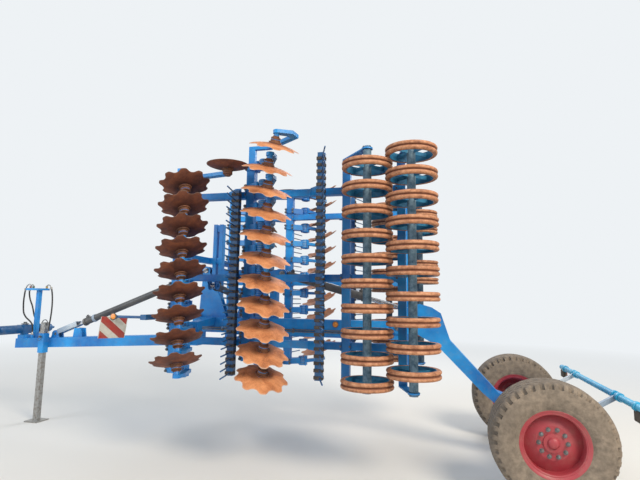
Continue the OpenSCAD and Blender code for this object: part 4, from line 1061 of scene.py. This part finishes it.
class HARROW_OT_tyres(bpy.types.Operator):
    """Builds the tyres with their zigzag ribs and notched shoulders, and dresses the wheels"""

    bl_idname = "harrow.tyres"
    bl_label = "Tyres"

    axle_x, axle_z, track = 3.2565, 0.545, 1.05
    # Rows of points and pitches of the tread round a tyre, and the wheel nuts with their circle's radius
    around, pitches = 280, 40
    nuts, nut_circle = 10, 0.122

    # Profiles as (radius, place across the wheel): tyre from bead to shoulder, rim lip, hub drum and hub cap
    wall = [(0.290, -0.176), (0.302, -0.190), (0.318, -0.194), (0.330, -0.203), (0.336, -0.203),
            (0.345, -0.206), (0.375, -0.217), (0.410, -0.2195), (0.450, -0.218), (0.478, -0.213),
            (0.486, -0.211)]
    lip = [(0.262, 0.150), (0.285, 0.160), (0.296, 0.172), (0.304, 0.178), (0.306, 0.186), (0.300, 0.190),
           (0.288, 0.186), (0.274, 0.176), (0.258, 0.168)]
    drum = [(0.0465, -0.118), (0.084, -0.118), (0.104, -0.112), (0.108, -0.085), (0.108, 0.062),
            (0.102, 0.068), (0.086, 0.070), (0.086, -0.08), (0.0465, -0.112)]
    cap = [(0, 0.147), (0.034, 0.144), (0.046, 0.134), (0.052, 0.1205), (0, 0.1205)]

    def execute(self, context):
        red, blue = known("Wine red enamel"), known("Blue two-pack enamel")
        for side in SIDES:
            body, sign = "wheel_" + side, SIGN[side]
            hub = at(self.axle_x, sign * self.track, self.axle_z) @ turn(-sign * 90, "X")
            tyre = placed(self.carcass(), hub)
            finished(tyre, "tyre_tread_" + side, known("Field tyre rubber"), body, 40)
            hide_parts("tyre_" + side)
            lips = [placed(ring(self.lip, 72), mirror("Z")), ring(self.lip, 72)]
            finished(placed(joined(lips), hub), "rim_lips_" + side, red, body)
            finished(ring(self.drum, 48, hub), "hub_drum_" + side, blue, body)
            finished(lathe(self.cap, 36, hub), "hub_cap_" + side, red, body)
            studs = [hub @ turn(360 / self.nuts * i, "Z") @ at(self.nut_circle, 0, 0.110)
                     for i in range(self.nuts)]
            nuts = stamped(bolt(0.027, 0.010), studs)
            finished(nuts, "wheel_nuts_" + side, known("Dull zinc stud"), body)
        return {"FINISHED"}

    def carcass(self):
        """Rows of points round the tyre: sidewall, notched shoulder, then ribs between zigzag grooves."""
        data = bmesh.new()
        rows = []
        for i in range(self.around):
            angle = 2 * math.pi * i / self.around
            phase = (i * self.pitches / self.around) % 1.0
            zig = 0.011 * (4 * abs(phase - 0.5) - 1)
            deep, dent = (0.026, 0.016) if phase < 0.42 else (0.0, 0.0)
            half = self.wall + [(0.500 - deep, -0.207 + deep * 0.6), (0.522 - deep, -0.194 + deep * 0.5),
                                (0.531 - dent, -0.170), (0.5365, -0.142)]
            section = (half + self.grooves(zig, -0.110, -0.037) + [(0.5448, zig * 0.4)]
                       + self.grooves(zig, 0.037, 0.110) + [(r, -w) for r, w in reversed(half)])
            rows.append([data.verts.new((r * math.cos(angle), r * math.sin(angle), w)) for r, w in section])
        for row, after in zip(rows, rows[1:] + rows[:1]):
            for corners in zip(row, after, after[1:] + after[:1], row[1:] + row[:1]):
                data.faces.new(corners)
        bmesh.ops.recalc_face_normals(data, faces=data.faces)
        mesh = bpy.data.meshes.new("Tyre")
        data.to_mesh(mesh)
        data.free()
        return linked(mesh)

    def grooves(self, zig, *centres):
        """The four corners of each groove's section, moved sideways by the zigzag."""
        points = []
        for centre in centres:
            top = 0.5385 + 0.004 * (1 - abs(centre) / 0.11)
            points += [(top - deep, centre + zig + off)
                       for deep, off in ((0, -0.0085), (0.013, -0.0055), (0.013, 0.0055), (0, 0.0085))]
        return points


class HARROW_OT_lights(bpy.types.Operator):
    """Adds the lamp clusters, clamps and end plugs of the lighting bar"""

    bl_idname = "harrow.lights"
    bl_label = "Lights"

    bar_x, bar_z, bar_end = 3.9465, 0.91, 1.333
    lamp_y, lamp_z = 1.235, bar_z - 0.076
    collar_y = (0.64, 0.76, 1.16)
    # How far behind the bar's axis the collars end, flat, since the bar itself is the machine's rearmost line
    flat = 0.0318
    collar = [(0.0325, -0.030), (0.041, -0.030), (0.043, -0.026), (0.043, 0.026), (0.041, 0.030),
              (0.0325, 0.030)]
    plug = [(0, 0), (0.030, 0), (flat, 0.004), (flat, 0.010), (0.026, 0.0145), (0, 0.016)]

    def execute(self, context):
        dark = dusty_rubber("Black moulded housing", "#1d1d1f", "#5c564d", 0.05)
        red = lens_plastic("Red lamp lens", "#8f1418", "#a2544c")
        collars, cases, reds, ambers = [], [], [], []
        x, z = self.bar_x, self.lamp_z
        for sign in (-1, 1):
            collars += [ring(self.collar, 32, at(x, sign * y, self.bar_z) @ turn(90, "X"))
                        for y in self.collar_y]
            cases.append(lathe(self.plug, 24, at(x, sign * self.bar_end, self.bar_z) @ turn(-sign * 90, "X")))
            y = sign * self.lamp_y
            cases.append(block((0.036, 0.190, 0.096), (x - 0.008, y, z), 0.010, 3))
            cases.append(block((0.012, 0.060, 0.060), (x - 0.010, y, self.bar_z - 0.034), 0.002))
            for lenses, width, off in ((reds, 0.100, -0.036), (ambers, 0.060, 0.050)):
                lenses.append(block((0.012, width, 0.080), (x + 0.012, y + sign * off, z), 0.005, 3))
        collars = joined(collars)
        edit(collars)
        bpy.ops.mesh.bisect(
            plane_co=(x + self.flat, 0, 0), plane_no=(1, 0, 0), clear_outer=True, use_fill=True)
        close(False)
        finished(collars, "light_bar_clamps", known("Sky blue enamel"), "chassis")
        finished(joined(cases), "lamp_cases", dark, "chassis")
        finished(joined(reds), "red_lamp_lenses", red, "chassis")
        finished(joined(ambers), "amber_lamp_lenses", known("Amber reflector lens"), "chassis")
        return {"FINISHED"}


# Middle of each hinge pin, its direction, and half its length over the heads
PIN_ENDS = [
    ((-1.0835, 0, 1.23), (0, 1, 0), 0.128),
    ((1.7965, 0, 1.485), (0, 1, 0), 0.128),
    ((-0.8535, 0, 2.18), (0, 1, 0), 0.068),
    ((0.2665, 0, 2.14), (0, 1, 0), 0.068),
] + [((x, y, 1.35), (1, 0, 0), 0.068) for x in (-0.7235, -0.0335) for y in (-0.5, 0.5)] + [
    ((-0.4135, 0.15, 1.82), (1, 0, 0), 0.068), ((-0.1535, -0.15, 1.82), (1, 0, 0), 0.068),
]
# Body of each cylinder's barrel, its fixed end, its rod's end, its length and its radius
CYLINDERS = {
    "strut": ("strut_barrel", (-0.8535, 0, 2.18), (-3.2935, 0, 1.238767), 2.115, 0.048),
    "fold_left": ("fold_barrel_left", (-0.4135, 0.15, 1.82), (-0.4135, -0.665, 1.955), 0.766, 0.044),
    "fold_right": ("fold_barrel_right", (-0.1535, -0.15, 1.82), (-0.1535, 0.665, 1.955), 0.766, 0.044),
    "lift": ("lift_barrel", (0.2665, 0, 2.14), (1.9865, 0, 1.67), 1.150, 0.052),
}


class HARROW_OT_fittings(bpy.types.Operator):
    """Adds pin keepers, cylinder glands and ports, the rod's cover, pipes, cap and stand fittings"""

    bl_idname = "harrow.fittings"
    bl_label = "Fittings"

    def execute(self, context):
        zinc = known("Dull zinc stud")
        keeper = joined([block((0.080, 0.026, 0.008), (0.020, 0, 0.004), 0.002, 1),
                         bolt(0.018, place=at(0.045, 0, 0.007))])
        spots = [facing(Vector(place) + Vector(way) * end * half, Vector(way) * end, 0.6)
                 for place, way, half in PIN_ENDS for end in (-1, 1)]
        finished(stamped(keeper, spots), "pin_keepers", zinc, "frame")
        for name, cylinder in CYLINDERS.items():
            self.cylinder(name, *cylinder)
        self.rod_cover()
        self.pipes(zinc)
        self.hitch(zinc)
        return {"FINISHED"}

    def cylinder(self, name, body, a, b, length, r):
        """Gland, weld bead and ports of a barrel, and the strut's band."""
        line = along(a, b)
        gland = [(r - 0.001, -0.040), (r + 0.0075, -0.040), (r + 0.009, -0.036), (r + 0.009, -0.004),
                 (r + 0.006, 0.0), (r - 0.012, 0.0), (r - 0.018, 0.006), (0.030, 0.006), (0.030, -0.002),
                 (r - 0.001, -0.002)]
        weld = [(r - 0.001, -0.008), (r + 0.004, -0.006), (r + 0.006, 0.0), (r + 0.004, 0.006),
                (r - 0.001, 0.008)]
        parts = [ring(gland, 40, line @ at(length, 0, 0) @ turn(90, "Y")),
                 ring(weld, 40, line @ at(0.078, 0, 0) @ turn(90, "Y"))]
        for x in (0.120, length - 0.075):
            port = joined([block((0.046, 0.040, 0.034), (x, 0, r + 0.010), 0.004),
                           placed(hexagon(0.026, 0.016), at(x, 0, r + 0.024))])
            parts.append(placed(port, line))
        finished(joined(parts), name + "_gland_and_ports", known("Grey cylinder enamel"), body)
        if name == "strut":
            band = [(r, -0.020), (r + 0.006, -0.020), (r + 0.008, -0.016), (r + 0.008, 0.016),
                    (r + 0.006, 0.020), (r, 0.020)]
            band = ring(band, 40, line @ at(1.93, 0, 0) @ turn(90, "Y"))
            finished(band, "strut_band", known("Pale blue-grey enamel, worn"), body)

    def rod_cover(self):
        """The folded channel over the strut's rod, between the drawbar's lugs and its cradle."""
        parts = [block((0.350, 0.112, 0.005), (0.225, 0, 0.052), 0.002)] + [
            block((0.350, 0.005, 0.070), (0.225, y, 0.019), 0.002) for y in (0.0565, -0.0565)]
        cover = placed(joined(parts), along(CYLINDERS["strut"][2], CYLINDERS["strut"][1]))
        finished(cover, "strut_rod_cover", known("Pale blue-grey enamel, worn"), "drawbar")

    def pipes(self, zinc):
        """Steel pipes with their clips along both sides of the main beam."""
        start, length, heights = -0.86, 2.44, (1.385, 1.410)
        pipe = [(0, 0), (0.0068, 0), (0.0075, 0.004), (0.0075, length - 0.004), (0.0068, length), (0, length)]
        middle = sum(heights) / 2
        lengths, clips = [], []
        for sign in (-1, 1):
            y = sign * BEAM_SIDE
            lengths += [lathe(pipe, 12, at(start, y, z) @ turn(90, "Y")) for z in heights]
            for x in (-0.55, 0.15, 0.45, 0.80, 1.20, 1.50):
                screw = bolt(0.012, place=at(x, y + sign * 0.010, middle) @ turn(-sign * 90, "X"))
                clips.append(joined([block((0.030, 0.020, 0.062), (x, y, middle), 0.004), screw]))
        finished(joined(lengths + clips), "beam_pipes", zinc, "frame")

    def hitch(self, zinc):
        """The kingpin's cap, the pin through the stand's sleeve with its ring, and the leg's handle."""
        cap = lathe([(0, 0.016), (0.036, 0.016), (0.050, 0.012), (0.052, 0.008), (0.052, 0), (0, 0)], 36)
        cap = placed(joined([cap, hexagon(0.046, 0.018, (0, 0, 0.016))]), at(-3.9135, 0, 1.3625))
        finished(cap, "kingpin_cap", zinc, "drawbar")
        x, y = -3.4135, -0.137
        pin = lathe([(0, -0.075), (0.0105, -0.072), (0.011, -0.07), (0.011, 0.070), (0.018, 0.071),
                     (0.018, 0.078), (0, 0.078)], 16, at(x, y, 1.205) @ turn(90, "X"))
        pull = self.hoop((x, y - 0.078, 1.178), (0, math.pi / 2, 0), 0.030, 0.0032, 28, 8)
        finished(joined([pin, pull]), "stand_pin", zinc, "drawbar")
        handle = self.hoop((x, y, 1.400), (math.pi / 2, 0, 0), 0.048, 0.007, 32, 10)
        finished(handle, "stand_handle", zinc, "stand")

    def hoop(self, place, turned, radius, wire, steps, sides):
        """A ring of bent wire at a place."""
        deselect()
        bpy.ops.mesh.primitive_torus_add(
            location=place, rotation=turned, major_radius=radius, minor_radius=wire, major_segments=steps,
            minor_segments=sides)
        return placed(bpy.context.object, Matrix.Identity(4))


class HARROW_PT_panel(bpy.types.Panel):
    """Lists the steps that build the harrow"""

    bl_label = "Harrow"
    bl_idname = "HARROW_PT_panel"
    bl_space_type = "VIEW_3D"
    bl_region_type = "UI"
    bl_category = "Harrow"

    def draw(self, context):
        column = self.layout.column()
        for step in STEPS:
            column.operator("harrow." + step)
        for group in (context.scene.harrow.paint, context.scene.harrow.sizes):
            for name in group.bl_rna.properties.keys():
                if name not in ("rna_type", "name"):
                    column.prop(group, name)


# The order matters: later steps use finishes that earlier ones made
OPERATORS = (HARROW_OT_stage, HARROW_OT_paint, HARROW_OT_hoses, HARROW_OT_boards, HARROW_OT_discs,
             HARROW_OT_hubs, HARROW_OT_springs, HARROW_OT_clamps, HARROW_OT_tines, HARROW_OT_bearings,
             HARROW_OT_tyres, HARROW_OT_lights, HARROW_OT_fittings)
STEPS = [made.bl_idname.split(".")[1] for made in OPERATORS]
CLASSES = (HarrowPaint, HarrowSizes, HarrowSettings, *OPERATORS, HARROW_PT_panel)


def register():
    for made in CLASSES:
        bpy.utils.register_class(made)
    bpy.types.Scene.harrow = bpy.props.PointerProperty(type=HarrowSettings)


def unregister():
    del bpy.types.Scene.harrow
    for made in reversed(CLASSES):
        bpy.utils.unregister_class(made)


def main():
    register()
    for step in STEPS:
        getattr(bpy.ops.harrow, step)()
    for low, high in (BOX_AT_LOAD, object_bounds()):
        json.dumps([list(low), list(high)])


if __name__ == "__main__":
    main()
